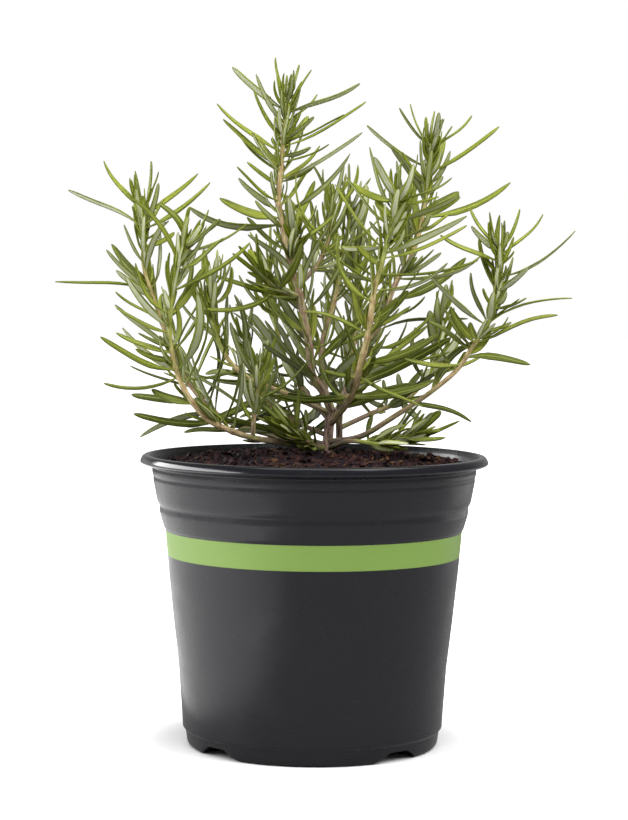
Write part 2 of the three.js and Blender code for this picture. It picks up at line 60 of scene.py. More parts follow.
PHOTO = Values(width=628, height=820, focal=2300, centre_x=314.75)
CAMERA = Values(place=(0.0, -0.757, 0.1518), down=3.125, roll=0.4585, sensor=36.0)

# ---------- the studio ----------

# Each soft box: degrees from the front to the right, degrees up, its size in metres, its radiance, and
# whether it lights what is matt and shows in what is glossy.
BOXES = {
    "key": (-70, 30, (1.0, 0.4), 5.5, True, False),
    "strip": (-90, 19, (1.8, 0.34), 10.0, False, True),
    "front": (20, 60, (1.3, 1.3), 3.1, True, False),
    "fill": (70, 32, (0.9, 0.6), 3.3, True, False),
    "rim": (75, 62, (0.9, 0.5), 2.4, False, True),
    "top": (0, 89, (1.0, 1.0), 1.6, True, True),
}
AIM = Values(at=(0, 0, 0.1), distance=1.1)
# Each white card that faces up: its place, its size, its radiance, and whether it lights what is matt.
CARDS = {
    "left": ((-0.32, 0.2, 0.002), (0.5, 0.8), 1.1, True),
    "right": ((0.55, 0.45, 0.002), (0.5, 0.6), 0.6, False),
}
WORLD = Values(dim=0.24, left=0.75, back=0.1)
FLOOR = Values(radius=6000, sides=96, lit=0.34, seen=0.93, fade=(0.045, 0.085))

# ---------- colours, as linear light ----------

# A pair is the darkest and the palest of one stuff. A single colour is laid over others in places.
PLASTIC = {
    "black": ((0.0042, 0.0042, 0.0068), (0.0076, 0.0074, 0.011)), "scuff": (0.11, 0.105, 0.1),
    "ink": ((0.205, 0.335, 0.065), (0.23, 0.368, 0.077)),
}
CRUMBLY = {
    "peat": ((0.003, 0.0018, 0.003), (0.017, 0.0095, 0.013)),
    "rust": ((0.014, 0.0055, 0.006), (0.055, 0.02, 0.016)),
    "tan": ((0.04, 0.019, 0.009), (0.11, 0.055, 0.024)),
}
BARK = {
    "crack": (0.09, 0.054, 0.044), "ridge": (0.52, 0.355, 0.275), "flake": (0.48, 0.355, 0.285),
    # The last is painted shade for the trunk near the mix.
    "painted_shade": (0.09, 0.055, 0.045),
}
WOOD = {
    "brown": ((0.09, 0.056, 0.045), (0.36, 0.26, 0.205)), "tan": ((0.44, 0.3, 0.13), (0.76, 0.61, 0.32)),
    "green": ((0.17, 0.2, 0.03), (0.4, 0.44, 0.1)), "speck": (0.16, 0.095, 0.06),
    # The last is painted shade for wood near the mix.
    "node": (0.32, 0.16, 0.09), "painted_shade": (0.05, 0.038, 0.028),
}
GREEN = {
    "young": ((0.145, 0.17, 0.006), (0.37, 0.42, 0.06)),
    "grown": ((0.093, 0.113, 0.005), (0.37, 0.405, 0.066)),
    "old": ((0.04, 0.053, 0.004), (0.2, 0.235, 0.055)), "mottle": (0.07, 0.1, 0.008),
    # The streak is partly the leaf's own colour and partly painted shade.
    "streak_and_shade": (0.05, 0.075, 0.005), "foot": (0.4, 0.42, 0.09), "rib": (0.4, 0.45, 0.1),
    # The edge is painted shade at the leaf's margins.
    # The felt colour is the underside's own, made paler as a painted sheen.
    "edge": (0.045, 0.062, 0.003), "felt_and_sheen": ((0.48, 0.5, 0.32), (0.72, 0.74, 0.56)),
    "bare": (0.11, 0.135, 0.055), "tip": (0.2, 0.13, 0.04),
}
# A little light passes under the skin of leaves and young wood.
SKIN = {"Subsurface_Weight": 0.12, "Subsurface_Scale": 0.001}

# ---------- the pot, in mm ----------

POT = Values(sides=288, wall=1.1, steps=5, sharp=38)
# Outside from the floor's middle up: (radius, height, how far a corner is rounded).
POT_OUTSIDE = [
    (30, 2.6, 0.5), (32.2, 0, 0.3), (41.3, 0, 1.9), (42, 5.2, 0.3), (42.9, 6.1, 0.4),
    (44.2, 25, 0), (46, 41, 0), (47.7, 57, 0), (48.9, 71.2, 0.3), (49.4, 71.9, 0.4),
    (50, 73.9, 0.8), (50.85, 76.9, 0.7), (50.83, 79.2, 0.5), (51.45, 80.2, 0.4), (51.8, 81.2, 0.5),
    (52.97, 87.6, 0.4), (52.97, 88.9, 0.35), (53.25, 89.5, 0.35), (53.4, 90.6, 0.4), (53.35, 91.9, 0.3),
    (56.9, 93, 0.2), (57.35, 93.5, 0.25), (57.05, 94.5, 0.5), (56.6, 95.3, 0.4), (56.15, 95.6, 0.2),
    (55.7, 95.7, 0.2), (54.4, 95.7, 0.5),
]
# Inside, from the lip down to the floor.
POT_INSIDE = [
    (53.4, 94, 0.5), (52.1, 89, 0.6), (51.2, 82.6, 0.6), (49.7, 79.6, 0.6), (49.2, 75.2, 0.6),
    (47.8, 70.5, 0.6), (45.9, 50, 0), (43.1, 25, 0), (41, 6, 0.5), (40.2, 2.4, 0.5),
    (38.2, 1.3, 0.4), (33.3, 1.3, 0.3), (31.1, 3.7, 0.4),
]
NOTCH = Values(turn=42, height=3.3, mouth=18.5, roof=7.5, inner=26, run=4)
DRAIN = Values(radius=4, at=33, depth=12, sides=48)
# The printed band, and the polished bead of the lip: where each sets in and is full, up the pot and out.
BAND = {"low": (62.82, 62.98), "high": (71.08, 70.92), "out": (47.7, 47.9)}
BEAD = Values(height=(91.6, 92.2), out=(53.8, 54.6))

# ---------- the mix, in mm ----------

SOIL = Values(
    side=[(37.9, 1.6), (39.9, 2.7), (40.7, 6.2), (47.5, 70.7), (49.2, 79.8), (51.2, 85)],
    floor=[(31.4, 4), (33.6, 1.6)], clear=0.3, middle=0.02, sharp=50, rim=51.9, top=95.2, fall=3.4, edge=53,
    grain=0.55, rings=70, sides=220,
)
CRUMBS = Values(
    count=4200, size=(0.3, 1.25), stretch=(0.6, 1.3), dents=(0.75, 1.2), margin=1.6, raised=(-0.1, 0.45),
    drier=0.3, seed=5,
)
CHIPS = Values(
    count=260, long=(1.2, 3.4), wide=(0.25, 0.5), thick=0.14, dents=(0.7, 1.2), tilt=0.5, margin=4,
    raised=0.35, tones=(0.3, 0.6, 0.75, 0.9, 0.99), seed=6,
)
FIBRES = Values(
    count=150, long=(2.5, 8), thick=(0.07, 0.16), arch=(1.4, 2.6), margin=6, sunk=0.3, clear=2, steps=8,
    sides=5, tones=(0.5, 0.7, 0.96, 0.99), seed=7,
)
ANY_TURN = 6.3  # a drawn turn is somewhere from none to this, in radians

# ---------- the plant, in mm ----------

TRUNK = Values(
    path=[(4, 7, 80), (4, 7, 92), (4.6, 6.4, 102), (5.6, 5, 111)], root=2.1, tip=1.5, steps=5, rings=110,
    sides=40,
)
STEM = Values(step=11, fewest=3, pieces=16, ring=0.7, sides=16, swell=0.16, node=0.9, end=0.3)
# A leaf keeps so far apart from those of other stems, and so far from crossing those of its own.
LEAF = Values(
    width=2.8, thickness=0.85, pieces=4, spacing=6, last=0.985, shortest=9, sunk=0.2, bow=0.05, apart=3.1,
    crossing=1.5,
)
# Pairs of leaves from the lowest to the apex: share of the stem's usual length, and degrees off its line.
PAIR = {"size": (1.1, 0.4), "lean": (72, 28), "start": (1, 0.3, 0), "seed": 977}
HELD = Values(near=4.5, turn=50)  # how near a leaf is, along and round its stem, that holds a pair's place
# A leaf within this many degrees of the front stands at least that far aside, so that the wood shows.
FRONT = Values(within=52, aside=58, spread=0.7)
# What a draw gives each leaf of a pair: (the least, how much more at most).
DRAWN = {"turn": (-25, 50), "size": (0.78, 0.4), "lean": (-16, 32), "lift": (0.1, 0.5), "bow": (-0.09, 0.3)}
# What is tried for a leaf that is in the way: (degrees round its stem, share of its length).
TRIES = [
    (0, 1), (25, 1), (-25, 1), (50, 0.9), (-50, 0.9), (75, 0.9), (-75, 0.9), (0, 0.6), (35, 0.6), (-35, 0.6),
]
GROUND = Values(height=97.6, rim=62)  # no leaf dips below this height within this radius

# Each stem: its name, the usual length of its leaves, how far up its wood is brown, how golden its old wood
# is (from grey-brown to straw), and its shoots. A shoot has the points of its path, the radius at its root
# and its tip, the share where its leaves begin, and its leaves placed one by one: (hundredths of its length,
# x, y, z of the leaf's tip, its bow where that is unusual).
STEMS = [
    ("centre", 27, 0.8, 0.35, [
        ([(5.5, 5, 110), (3, 4, 116), (-1, 3, 122), (-2, 3, 131), (-4, 4, 142), (-6, 4, 151), (-9, 4, 161),
          (-11, 5, 170), (-12.5, 5, 179), (-11.7, 5, 191), (-10.9, 5, 202), (-10, 5, 214.5)],
         1.5, 0.6, 0.1, [(98, -14, 13, 227), (99, -10, 0, 220), (99, -6, 5, 224), (98, -2, 13, 223),
          (95, -28, 5, 223), (91, -20, -3, 220), (86, -21, 8, 216), (82, -33, 5, 211), (78, -31, 6, 206),
          (76, -21, -3, 201), (78, -20, 13, 201), (76, -25, 8, 200), (82, -15, 8, 200), (72, -23, 5, 192),
          (67, -26, -3, 190), (64, -26, 13, 187), (94, 14, 5, 218), (91, 0, 13, 215), (95, -8, 10, 212),
          (85, -3, 17, 208), (86, -1, 5, 207), (84, 16, 5, 212), (86, 9, 8, 208), (74, 15, 5, 202),
          (79, 4, 5, 198), (74, 1, 13, 198), (81, -2, 5, 197), (66, -3, 13, 190), (73, -1, 8, 191),
          (64, 11, 5, 195, 0.12), (35, -14, 16, 164), (62, -32, 5, 180), (60, -42, 5, 177, 0.1),
          (52, -23, 12, 174), (59, -20, -3, 179), (35, -36, 12, 155, -0.03), (26, -16, 12, 148),
          (21, -13, -9, 146)]),
        ([(-5.7, 4, 148), (-10.8, 0, 149.5), (-14.3, -4, 151.5), (-16.2, -6, 153.7)],
         0.9, 0.6, 0.55, [(87, -19, 3, 163), (89, -26, -5, 161), (99, -22, -6, 163), (97, -25, -13, 164)]),
        ([(-8.7, 4, 160), (-7.2, 0, 164), (-7.3, -2, 168.3)],
         0.8, 0.5, 0.3, [(99, -9, -10, 180), (99, -5, -2, 175), (71, 6, 7, 175), (10, -7, -9, 170)]),
        ([(-6, 4, 151), (2, 12, 161), (6, 15, 181)],
         0.9, 0.6, 0.25, []),
    ]),
    ("right_front", 29, 0.62, 0.95, [
        ([(5, 6, 105.5), (9, -1, 111), (12.6, -8, 117.5), (14.7, -14, 125.5), (17.3, -19, 138.5),
          (18.8, -21, 150.5), (21.5, -22, 160.5), (24, -22, 171), (26.5, -22, 181)],
         1.4, 0.6, 0.12, [(93, 17, -14, 196), (98, 18, -30, 192), (99, 27, -22, 191), (99, 31, -22, 189),
          (88, 9, -30, 186), (97, 11, -22, 184), (79, 6, -14, 184), (91, 19, -21, 179), (83, 17, -22, 172),
          (97, 43, -22, 186), (96, 39, -22, 180), (89, 46, -14, 181), (78, 48, -22, 174),
          (76, 48, -22, 171), (83, 37, -14, 171), (66, 0, -29, 167), (68, 8, -21, 164), (73, 13, -22, 164),
          (80, 6, -17, 164), (48, 12, -18, 152), (35, 9, -14, 142), (47, -4, -18, 143, -0.1),
          (64, 42, -21, 159, 0.12), (70, 52, -18, 160), (52, 30, -11, 150), (50, 31, -7, 145),
          (31, 37, -4, 139, 0.08), (35, 39, -22, 136), (30, 35, -24, 113), (16, 1, -4, 127, 0.15),
          (29, 3, -11, 124), (15, -9, -3, 116), (19, -12, -14, 116)]),
    ]),
    ("right_rear", 28, 0.75, 0.2, [
        ([(4.1, 6.9, 97), (7.8, 8.6, 99.5), (8.2, 8.6, 106), (8.8, 8.8, 113), (15, 16, 126), (22, 22, 139),
          (27, 26, 152), (33, 28, 163), (36.5, 29, 176), (38, 30, 189), (39.5, 30, 201)],
         1.1, 0.55, 0.3, [(97, 32, 38, 214), (98, 28, 30, 212), (99, 40, 30, 211), (99, 41, 22, 210),
          (97, 46, 30, 206), (98, 53, 35, 210), (89, 44, 42, 203), (92, 17, 30, 206), (91, 62, 30, 206),
          (87, 27, 22, 197), (88, 29, 28, 197), (84, 43, 30, 189), (80, 49, 37, 184), (78, 49, 29, 182),
          (77, 66, 29, 187), (73, 45, 27, 176), (59, 40, 27, 164), (59, 43, 35, 163), (59, 34, 19, 163),
          (58, 56, 26, 162, 0.12), (45, 37, 23, 148, 0.12)]),
    ]),
    ("far_right", 24, 0.6, 0.5, [
        ([(4.5, 6.5, 99.5), (15.3, -1, 102), (24, -5, 107.5), (38.4, -9.5, 117.7), (46.5, -11, 125),
          (50.5, -12.5, 131.5), (56, -14, 140), (59.1, -14, 150), (59.7, -14, 158), (59.4, -14, 164.5)],
         0.95, 0.55, 0.6, [(88, 60, -2, 175), (88, 61, -9, 173), (99, 50, -6, 177), (98, 50, -14, 171),
          (95, 40, -14, 168), (91, 54, -12, 162), (97, 73, -14, 175), (90, 85, 0, 170, 0.08),
          (94, 64, -11, 163), (87, 69, -14, 158), (85, 68, -22, 158), (79, 68, -14, 148),
          (77, 62, -9, 152), (73, 83, -12, 148, -0.1), (70, 64, -5, 140), (74, 50, -14, 156),
          (79, 54, -14, 151), (75, 57, -22, 150), (73, 36, -14, 156), (64, 42, -13, 144),
          (66, 43, -21, 145), (67, 50, -13, 140), (63, 37, -9, 140, -0.05), (57, 29, -11, 128),
          (54, 40, -8, 134), (44, 54, -9, 134, 0.22)]),
    ]),
    ("left_front", 26, 0.62, 0.8, [
        ([(4, 7, 97.5), (-10, -6, 100), (-21, -14, 102.3), (-29, -20, 105.5), (-35, -24, 109.2),
          (-42.8, -28, 121), (-45.8, -29.5, 134), (-45.2, -30, 149), (-42.7, -30, 159.3),
          (-40.6, -30, 164.5)],
         1.2, 0.55, 0.36, [(99, -50, -30, 177, -0.15), (99, -40, -27, 176), (99, -34, -30, 175),
          (99, -30, -38, 172), (97, -22, -22, 171), (92, -29, -38, 166), (92, -59, -30, 179, -0.15),
          (86, -21, -22, 165), (75, -60, -30, 154), (74, -63, -30, 144), (68, -63, -29, 136),
          (63, -67, -40, 135), (66, -57, -29, 131), (61, -67, -28, 120, 0.12), (52, -52, -26, 118),
          (53, -59, -18, 116), (43, -58, -22, 110, 0.05), (37, -42, -19, 104, -0.1), (70, -56, -29, 136)]),
        ([(-20, -13.4, 102.2), (-19.5, -15, 110.5), (-18.5, -15, 117), (-18.4, -15, 126)],
         0.8, 0.5, 0.3, [(86, -27, -7, 131), (99, -22, -15, 132), (99, -15, -15, 133), (41, -22, -12, 117)]),
        ([(0, 3.2, 98.2), (-2, -4, 100), (-8, -9, 104.5)],
         0.8, 0.5, 0.5, [(97, -18, -9, 113), (95, -14, -4, 112), (81, -19, 1, 108), (89, -7, -8, 115),
          (69, -3, -6, 111)]),
    ]),
    ("left_rear", 25, 0.75, 0.4, [
        ([(4, 7, 98), (-15, 18, 101), (-31, 23, 106), (-43, 25, 118), (-51, 25, 136), (-57, 24, 152.5),
          (-58.6, 24, 159), (-58, 24, 172), (-58.3, 24, 178.5)],
         1, 0.55, 0.36, [(99, -62, 32, 190), (99, -56, 24, 193), (98, -72, 24, 193), (97, -40, 24, 189),
          (93, -36, 24, 186), (93, -84, 24, 183, -0.05), (89, -62, 32, 180), (78, -70, 32, 165),
          (75, -71, 24, 163), (73, -67, 16, 156), (75, -87, 12, 152, -0.06), (94, -51, 16, 180),
          (90, -50, 25, 173), (88, -48, 24, 169)]),
    ]),
    ("mid_left", 25, 0.55, 0.85, [
        ([(5.5, 5, 109), (-10, 0, 116), (-22, -1, 121), (-30, -1, 129), (-34, -1, 141), (-34, -1, 154)],
         0.9, 0.55, 0.16, []),
    ]),
    ("middle_rear", 26, 0.55, 0.2, [
        ([(5.3, 5.5, 108.5), (2, 14, 129), (7, 19, 149), (10, 20, 166), (12, 20, 180)],
         1, 0.55, 0.14, [(77, -3, 20, 168), (61, 1, 27, 161)]),
    ]),
    ("low_right", 20, 0.4, 0.1, [
        ([(4, 7, 97), (11.6, -3, 100.5), (20, -8, 100), (25, -10, 100.3), (29, -11, 101.8), (33, -12, 104)],
         0.85, 0.55, 0.5, [(95, 47, -12, 108, 0.1), (97, 41, -12, 111), (95, 35, -4, 111),
          (85, 42, -19, 103)]),
    ]),
    ("mid_right", 24, 0.55, 0.4, [
        ([(8.2, 8.6, 104), (20, 16, 109), (32, 22, 114), (40, 25, 124), (43, 26, 143)],
         0.9, 0.55, 0.22, [(41, 35, 12, 107), (23, 18, 8, 100), (32, 18, 21, 113), (46, 37, 30, 123),
          (45, 28, 21, 122), (58, 38, 16, 125), (60, 50, 36, 131)]),
    ]),
    ("low_rear", 22, 0.55, 0.2, [
        ([(4, 7, 98.5), (-8, 27, 101), (-16, 38, 108), (-18, 43, 120)],
         0.9, 0.55, 0.3, []),
    ]),
    ("rear_left", 25, 0.55, 0.3, [
        ([(5.2, 5.6, 106.5), (-8, 24, 122), (-14, 30, 140), (-16, 32, 160)],
         1, 0.55, 0.2, []),
    ]),
    ("low_left", 22, 0.55, 0.3, [
        ([(4.6, 6.5, 101.5), (-8, 10, 107), (-19, 11, 117), (-24, 12, 136)],
         0.9, 0.55, 0.2, []),
    ]),
    ("rear", 25, 0.55, 0.3, [
        ([(5, 6, 104), (10, 26, 116), (13, 35, 130), (14, 39, 150), (13, 40, 166)],
         1, 0.55, 0.25, []),
    ]),
]

# Small leaves in the corners between a leaf and its stem, and round each apex. Their sizes are shares of the
# leaf's length, or mm. A pair of numbers is a range, but a size is the least and how much more at most, and a
# fit is how far they keep from other stems' leaves and from crossing those of their own stem.
TUFT = Values(
    each=2, up=1.2, size=(0.26, 0.3), lean=(14, 26), turn=34, bow=(-0.02, 0.12), width=(0.55, 0.8),
    fit=(1.7, 0.75), seed=31,
)
APEX = Values(
    count=18, every=1.1, size=(8, 7), lean=(7, 30), turn=5, bow=(0, 0.1), width=(0.55, 0.85),
    fit=(1, 0.4), spiral=137.5, top=0.99,
)

# Rings of a leaf, as shares of its length, and its section: (share across, share of its thickness, 1 if
# under). Its margins are rolled under, and its midrib is a groove above and a ridge below.
LEAF_RINGS = (0, 0.05, 0.12, 0.22, 0.34, 0.46, 0.58, 0.7, 0.8, 0.88, 0.935, 0.97, 0.99, 1)
LEAF_SECTION = (
    (-1, -0.08, 0.3), (-0.76, 0.28, 0), (-0.36, 0.38, 0), (0, 0.14, 0), (0.36, 0.38, 0), (0.76, 0.28, 0),
    (1, -0.08, 0.3), (0.8, -0.42, 1), (0.4, -0.12, 1), (0, -0.34, 1), (-0.4, -0.12, 1), (-0.8, -0.42, 1),
)
# A leaf's half width: its narrow foot, how far it has tapered at its tip (drawn), and its blunt end. Then
# what is drawn for each leaf: its width, which also grows with age, turns in degrees, and sways in shares.
FORM = Values(
    foot=0.4, full=0.28, wide=0.35, taper=(0.25, 0.6), ease=1.5, end=0.84, blunt=0.12, width=(0.5, 1.18),
    aged=0.14, roll=72, twist=24, wave=0.035, sway=0.02,
)
# Age from 0 to 1: by height over this range, by place on the stem, drawn, and less for a small leaf.
AGE = Values(above=100, over=90, low=0.75, foot=0.35, drawn=0.15, small=0.3, seed=100)


# ---------- meshes ----------

class Surface:
    """The points, faces and point values of one piece, gathered part by part. Points come in mm."""

    def __init__(self, *values):
        self.points, self.faces, self.count = [], [], 0
        self.values = {name: [] for name in values}

    def add(self, points, faces, **values):
        self.points.append(points)
        self.faces.extend(tuple(i + self.count for i in face) for face in faces)
        for name, given in values.items():
            self.values[name].append(np.broadcast_to(given, len(points)))
        self.count += len(points)

    def piece(self, name, *materials):
        mesh = bpy.data.meshes.new(name)
        mesh.from_pydata((np.vstack(self.points) * MM).tolist(), [], self.faces)
        for value, given in self.values.items():
            attribute = mesh.attributes.new(value, "FLOAT", "POINT")
            attribute.data.foreach_set("value", np.concatenate(given).astype(np.float32))
        for material in materials:
            mesh.materials.append(material)
        mesh.shade_smooth()
        return in_scene(name, mesh)


def in_scene(name, data):
    """An object of the scene that holds a mesh, a light or a camera."""
    thing = bpy.data.objects.new(name, data)
    bpy.context.scene.collection.objects.link(thing)
    return thing


def tube_faces(rings, sides):
    """Faces of a closed tube: quads between its rings and one face over each end."""
    faces = []
    for start in range(0, (rings - 1) * sides, sides):
        for s in range(sides):
            n = (s + 1) % sides
            faces.append((start + s, start + n, start + sides + n, start + sides + s))
    faces.append(tuple(range(sides))[::-1])
    faces.append(tuple((rings - 1) * sides + s for s in range(sides)))
    return faces


def unit(v):
    return v / norm(v)


def level(v, normal):
    """The part of v that is square to a unit normal."""
    return v - normal * (v @ normal)


def spun(v, axis, turn):
    """v turned about a unit axis, in degrees."""
    angle = radians(turn)
    return v * cos(angle) + np.cross(axis, v) * sin(angle) + axis * (axis @ v) * (1 - cos(angle))


def arc_at(a, b, c, t):
    """A point of the arc from a to c that leans towards b."""
    return a * (1 - t) ** 2 + b * 2 * t * (1 - t) + c * t ** 2


def bend(line, steps):
    """Points of the arc that three points draw."""
    return np.array([arc_at(*line, k / steps) for k in range(steps + 1)])


def rounded(outline, steps):
    """An outline of (a, b, round) points with each corner eased over that distance along both sides."""
    spots = np.array([corner[:2] for corner in outline], float)
    made = [spots[:1]]
    for before, here, after, corner in zip(spots, spots[1:], spots[2:], outline[1:]):
        ends = [here + unit(p - here) * min(corner[2], norm(p - here) * 0.48) for p in (before, after)]
        made.append(bend((ends[0], here, ends[1]), steps) if corner[2] else [here])
    return np.vstack([*made, spots[-1:]])


def lathe(outline, sides):
    """Points of an outline turned about the axis, one ring for each of its points."""
    turns = np.linspace(0, 2 * pi, sides, endpoint=False)
    rings = [np.stack([r * np.cos(turns), r * np.sin(turns), np.full(sides, z)], 1) for r, z in outline]
    return np.vstack(rings)


# ---------- materials ----------

class Paint:
    """The nodes of a material or of the world. An input is a value, or a socket to link."""

    def __init__(self, tree):
        self.tree = tree

    def feed(self, socket, value):
        if isinstance(value, bpy.types.NodeSocket):
            self.tree.links.new(value, socket)
        else:
            socket.default_value = value

    def node(self, kind, inputs=None, **settings):
        """The outputs of a new node."""
        made = self.tree.nodes.new("ShaderNode" + kind)
        for name, value in settings.items():
            setattr(made, name, value)
        for name, value in (inputs or {}).items():
            self.feed(made.inputs[name], value)
        return made.outputs

    def sums(self, operation, a, b=0.0):
        return self.node("Math", {0: a, 1: b}, operation=operation)[0]

    def plus(self, a, b):
        return self.sums("ADD", a, b)

    def times(self, a, b):
        return self.sums("MULTIPLY", a, b)

    def between(self, value, low, high, to_low=0.0, to_high=1.0, shape="SMOOTHSTEP"):
        """A value carried from one range to another, and held at its ends."""
        inputs = {"Value": value, "From Min": low, "From Max": high, "To Min": to_low, "To Max": to_high}
        return self.node("MapRange", inputs, interpolation_type=shape)[0]

    def mixed(self, share, a, b):
        a, b = (v if isinstance(v, bpy.types.NodeSocket) else (*v, 1.0) for v in (a, b))
        return self.node("Mix", {0: share, 6: a, 7: b}, data_type="RGBA")[2]

    def laid(self, base, over, value, none, full, most=1.0):
        """A colour laid over another: not at all where the value is at none, and most of it at full."""
        return self.mixed(self.between(value, none, full, 0.0, most), base, over)

    def value(self, name):
        return self.node("Attribute", attribute_name=name)["Fac"]

    def place(self):
        """Where a point is in the piece's own space."""
        return self.node("TexCoord")["Object"]

    def parts(self, vector):
        return self.node("SeparateXYZ", {0: vector})

    def vector(self, x, y, z=0.0):
        return self.node("CombineXYZ", {"X": x, "Y": y, "Z": z})[0]

    def length(self, vector):
        return self.node("VectorMath", {0: vector}, operation="LENGTH")["Value"]

    def along_wood(self, stretch):
        """Where a point is round its wood and along it, for streaks that run along the wood."""
        across = map(self.value, ("round_x", "round_y"))
        return self.vector(*across, self.times(self.value("length"), stretch))

    def grain(self, where, scale, detail=3.0, roughness=0.5, stretch=None):
        """Noise from 0 to 1 in a space, stretched if asked."""
        if stretch:
            where = self.node("Mapping", {"Vector": where, "Scale": stretch})[0]
        inputs = {"Vector": where, "Scale": scale, "Detail": detail, "Roughness": roughness}
        return self.node("TexNoise", inputs)["Fac"]


class Material(Paint):
    """A material with one Principled shader. What is the same all over is set on the shader's own socket."""

    def __init__(self, name, **sockets):
        self.made = bpy.data.materials.new(name)
        self.made.use_nodes = True
        super().__init__(self.made.node_tree)
        self.set(**sockets)

    def set(self, **sockets):
        inputs = self.tree.nodes["Principled BSDF"].inputs
        for socket, value in sockets.items():
            self.feed(inputs[socket.replace("_", " ")], value)

    def bump(self, height, distance, strength=1.0):
        inputs = {"Height": height, "Distance": distance, "Strength": strength}
        self.set(Normal=self.node("Bump", inputs)[0])


def pot_plastic():
    """Satin polypropylene, nearly black, with a printed green band and light scuffs."""
    paint = Material("pot_plastic", Roughness=0.28, Specular_IOR_Level=0.46)
    where = paint.place()
    parts = paint.parts(where)
    out = paint.length(paint.vector(parts["X"], parts["Y"]))

    def within(place, limits):
        return paint.between(place, *(limit * MM for limit in limits))

    low, high = (within(parts["Z"], BAND[key]) for key in ("low", "high"))
    band = paint.times(paint.times(low, high), within(out, BAND["out"]))
    cloudy = paint.grain(where, 45, 4)
    scuffed = paint.grain(where, 160, 6, 0.6, (1, 1, 7))
    worn = paint.laid(paint.mixed(cloudy, *PLASTIC["black"]), PLASTIC["scuff"], scuffed, 0.63, 0.8, 0.16)
    paint.set(Base_Color=paint.mixed(band, worn, paint.mixed(cloudy, *PLASTIC["ink"])))
    satin = paint.between(paint.grain(where, 90, 5), 0.3, 0.7, 0.24, 0.33)
    bead = paint.times(within(parts["Z"], BEAD.height), within(out, BEAD.out))
    polished = paint.between(bead, 0.0, 1.0, 1.0, 0.5, "LINEAR")
    printed = paint.between(band, 0.0, 1.0, 0.0, 0.16, "LINEAR")
    paint.set(Roughness=paint.plus(paint.times(satin, polished), printed))
    flow = paint.grain(where, 38, 2, 0.4, (1, 1, 0.25))
    pebbled = paint.grain(where, 2600, 2)
    paint.bump(paint.plus(pebbled, paint.times(flow, 9.0)), 0.00003, 0.6)
    return paint.made


def potting_mix():
    """Damp peat and bark: dark brown, with rust and tan crumbs."""
    paint = Material("potting_mix", Roughness=0.85, Specular_IOR_Level=0.2)
    where, tone = paint.place(), paint.value("tone")
    fine = paint.grain(where, 900, 6, 0.7)
    peat, rust, tan = (paint.mixed(fine, *CRUMBLY[key]) for key in ("peat", "rust", "tan"))
    brown = paint.laid(peat, rust, tone, 0.35, 0.8)
    paint.set(Base_Color=paint.laid(brown, tan, tone, 0.93, 0.97))
    paint.set(Roughness=paint.between(paint.grain(where, 300), 0.3, 0.7, 0.6, 0.95))
    paint.bump(fine, 0.0004)
    return paint.made


def bark():
    """Grey-brown bark in long flakes, pinkish where it is fresh, with painted shade near the mix."""
    paint = Material("bark", Roughness=0.82, Specular_IOR_Level=0.3)
    cracks = paint.grain(paint.along_wood(0.10), 2.6, 4, 0.6)
    flakes = paint.grain(paint.place(), 700, 4, 0.6)
    colour = paint.laid(BARK["crack"], BARK["ridge"], cracks, 0.36, 0.6)
    colour = paint.laid(colour, BARK["flake"], flakes, 0.5, 0.7, 0.5)
    # Painted shade: the trunk darkened towards the mix, below the leaves.
    colour = paint.laid(colour, BARK["painted_shade"], paint.value("up"), 0.5, 0.1, 0.35)
    paint.set(Base_Color=colour)
    paint.bump(paint.plus(cracks, paint.times(flakes, 0.3)), 0.0008)
    return paint.made


def young_stem():
    """Young wood: brown and tan near the base, yellow-green towards the apex, finely ribbed."""
    paint = Material("young_stem", Roughness=0.6, Specular_IOR_Level=0.4, **SKIN)
    where = paint.place()
    up, golden, node = map(paint.value, ("up", "golden", "node"))
    ribs = paint.grain(paint.along_wood(0.12), 2.2, 3, 0.6)
    specks = paint.grain(where, 800, 3, 0.6)
    patches = paint.grain(paint.along_wood(0.16), 1.1, 2)
    streaked = paint.between(ribs, 0.34, 0.64)
    brown, tan, green = (paint.mixed(streaked, *WOOD[key]) for key in ("brown", "tan", "green"))
    straw = paint.times(golden, paint.between(up, 0.15, 0.65, 0.3, 1.0))
    wood = paint.laid(paint.mixed(straw, brown, tan), tan, up, 0.6, 1.0)
    wood = paint.laid(wood, WOOD["speck"], specks, 0.52, 0.7, 0.35)
    wood = paint.laid(wood, WOOD["node"], node, 0.2, 0.9, 0.4)
    # Painted shade: wood darkened low down, near the mix and under the leaves.
    wood = paint.laid(wood, WOOD["painted_shade"], paint.parts(where)["Z"], 0.108, 0.098, 0.7)
    wood = paint.laid(wood, green, patches, 0.52, 0.62, 0.55)
    paint.set(Base_Color=paint.laid(wood, green, up, 0.95, 1.25))
    paint.bump(paint.plus(ribs, paint.times(specks, 0.3)), 0.0005)
    return paint.made


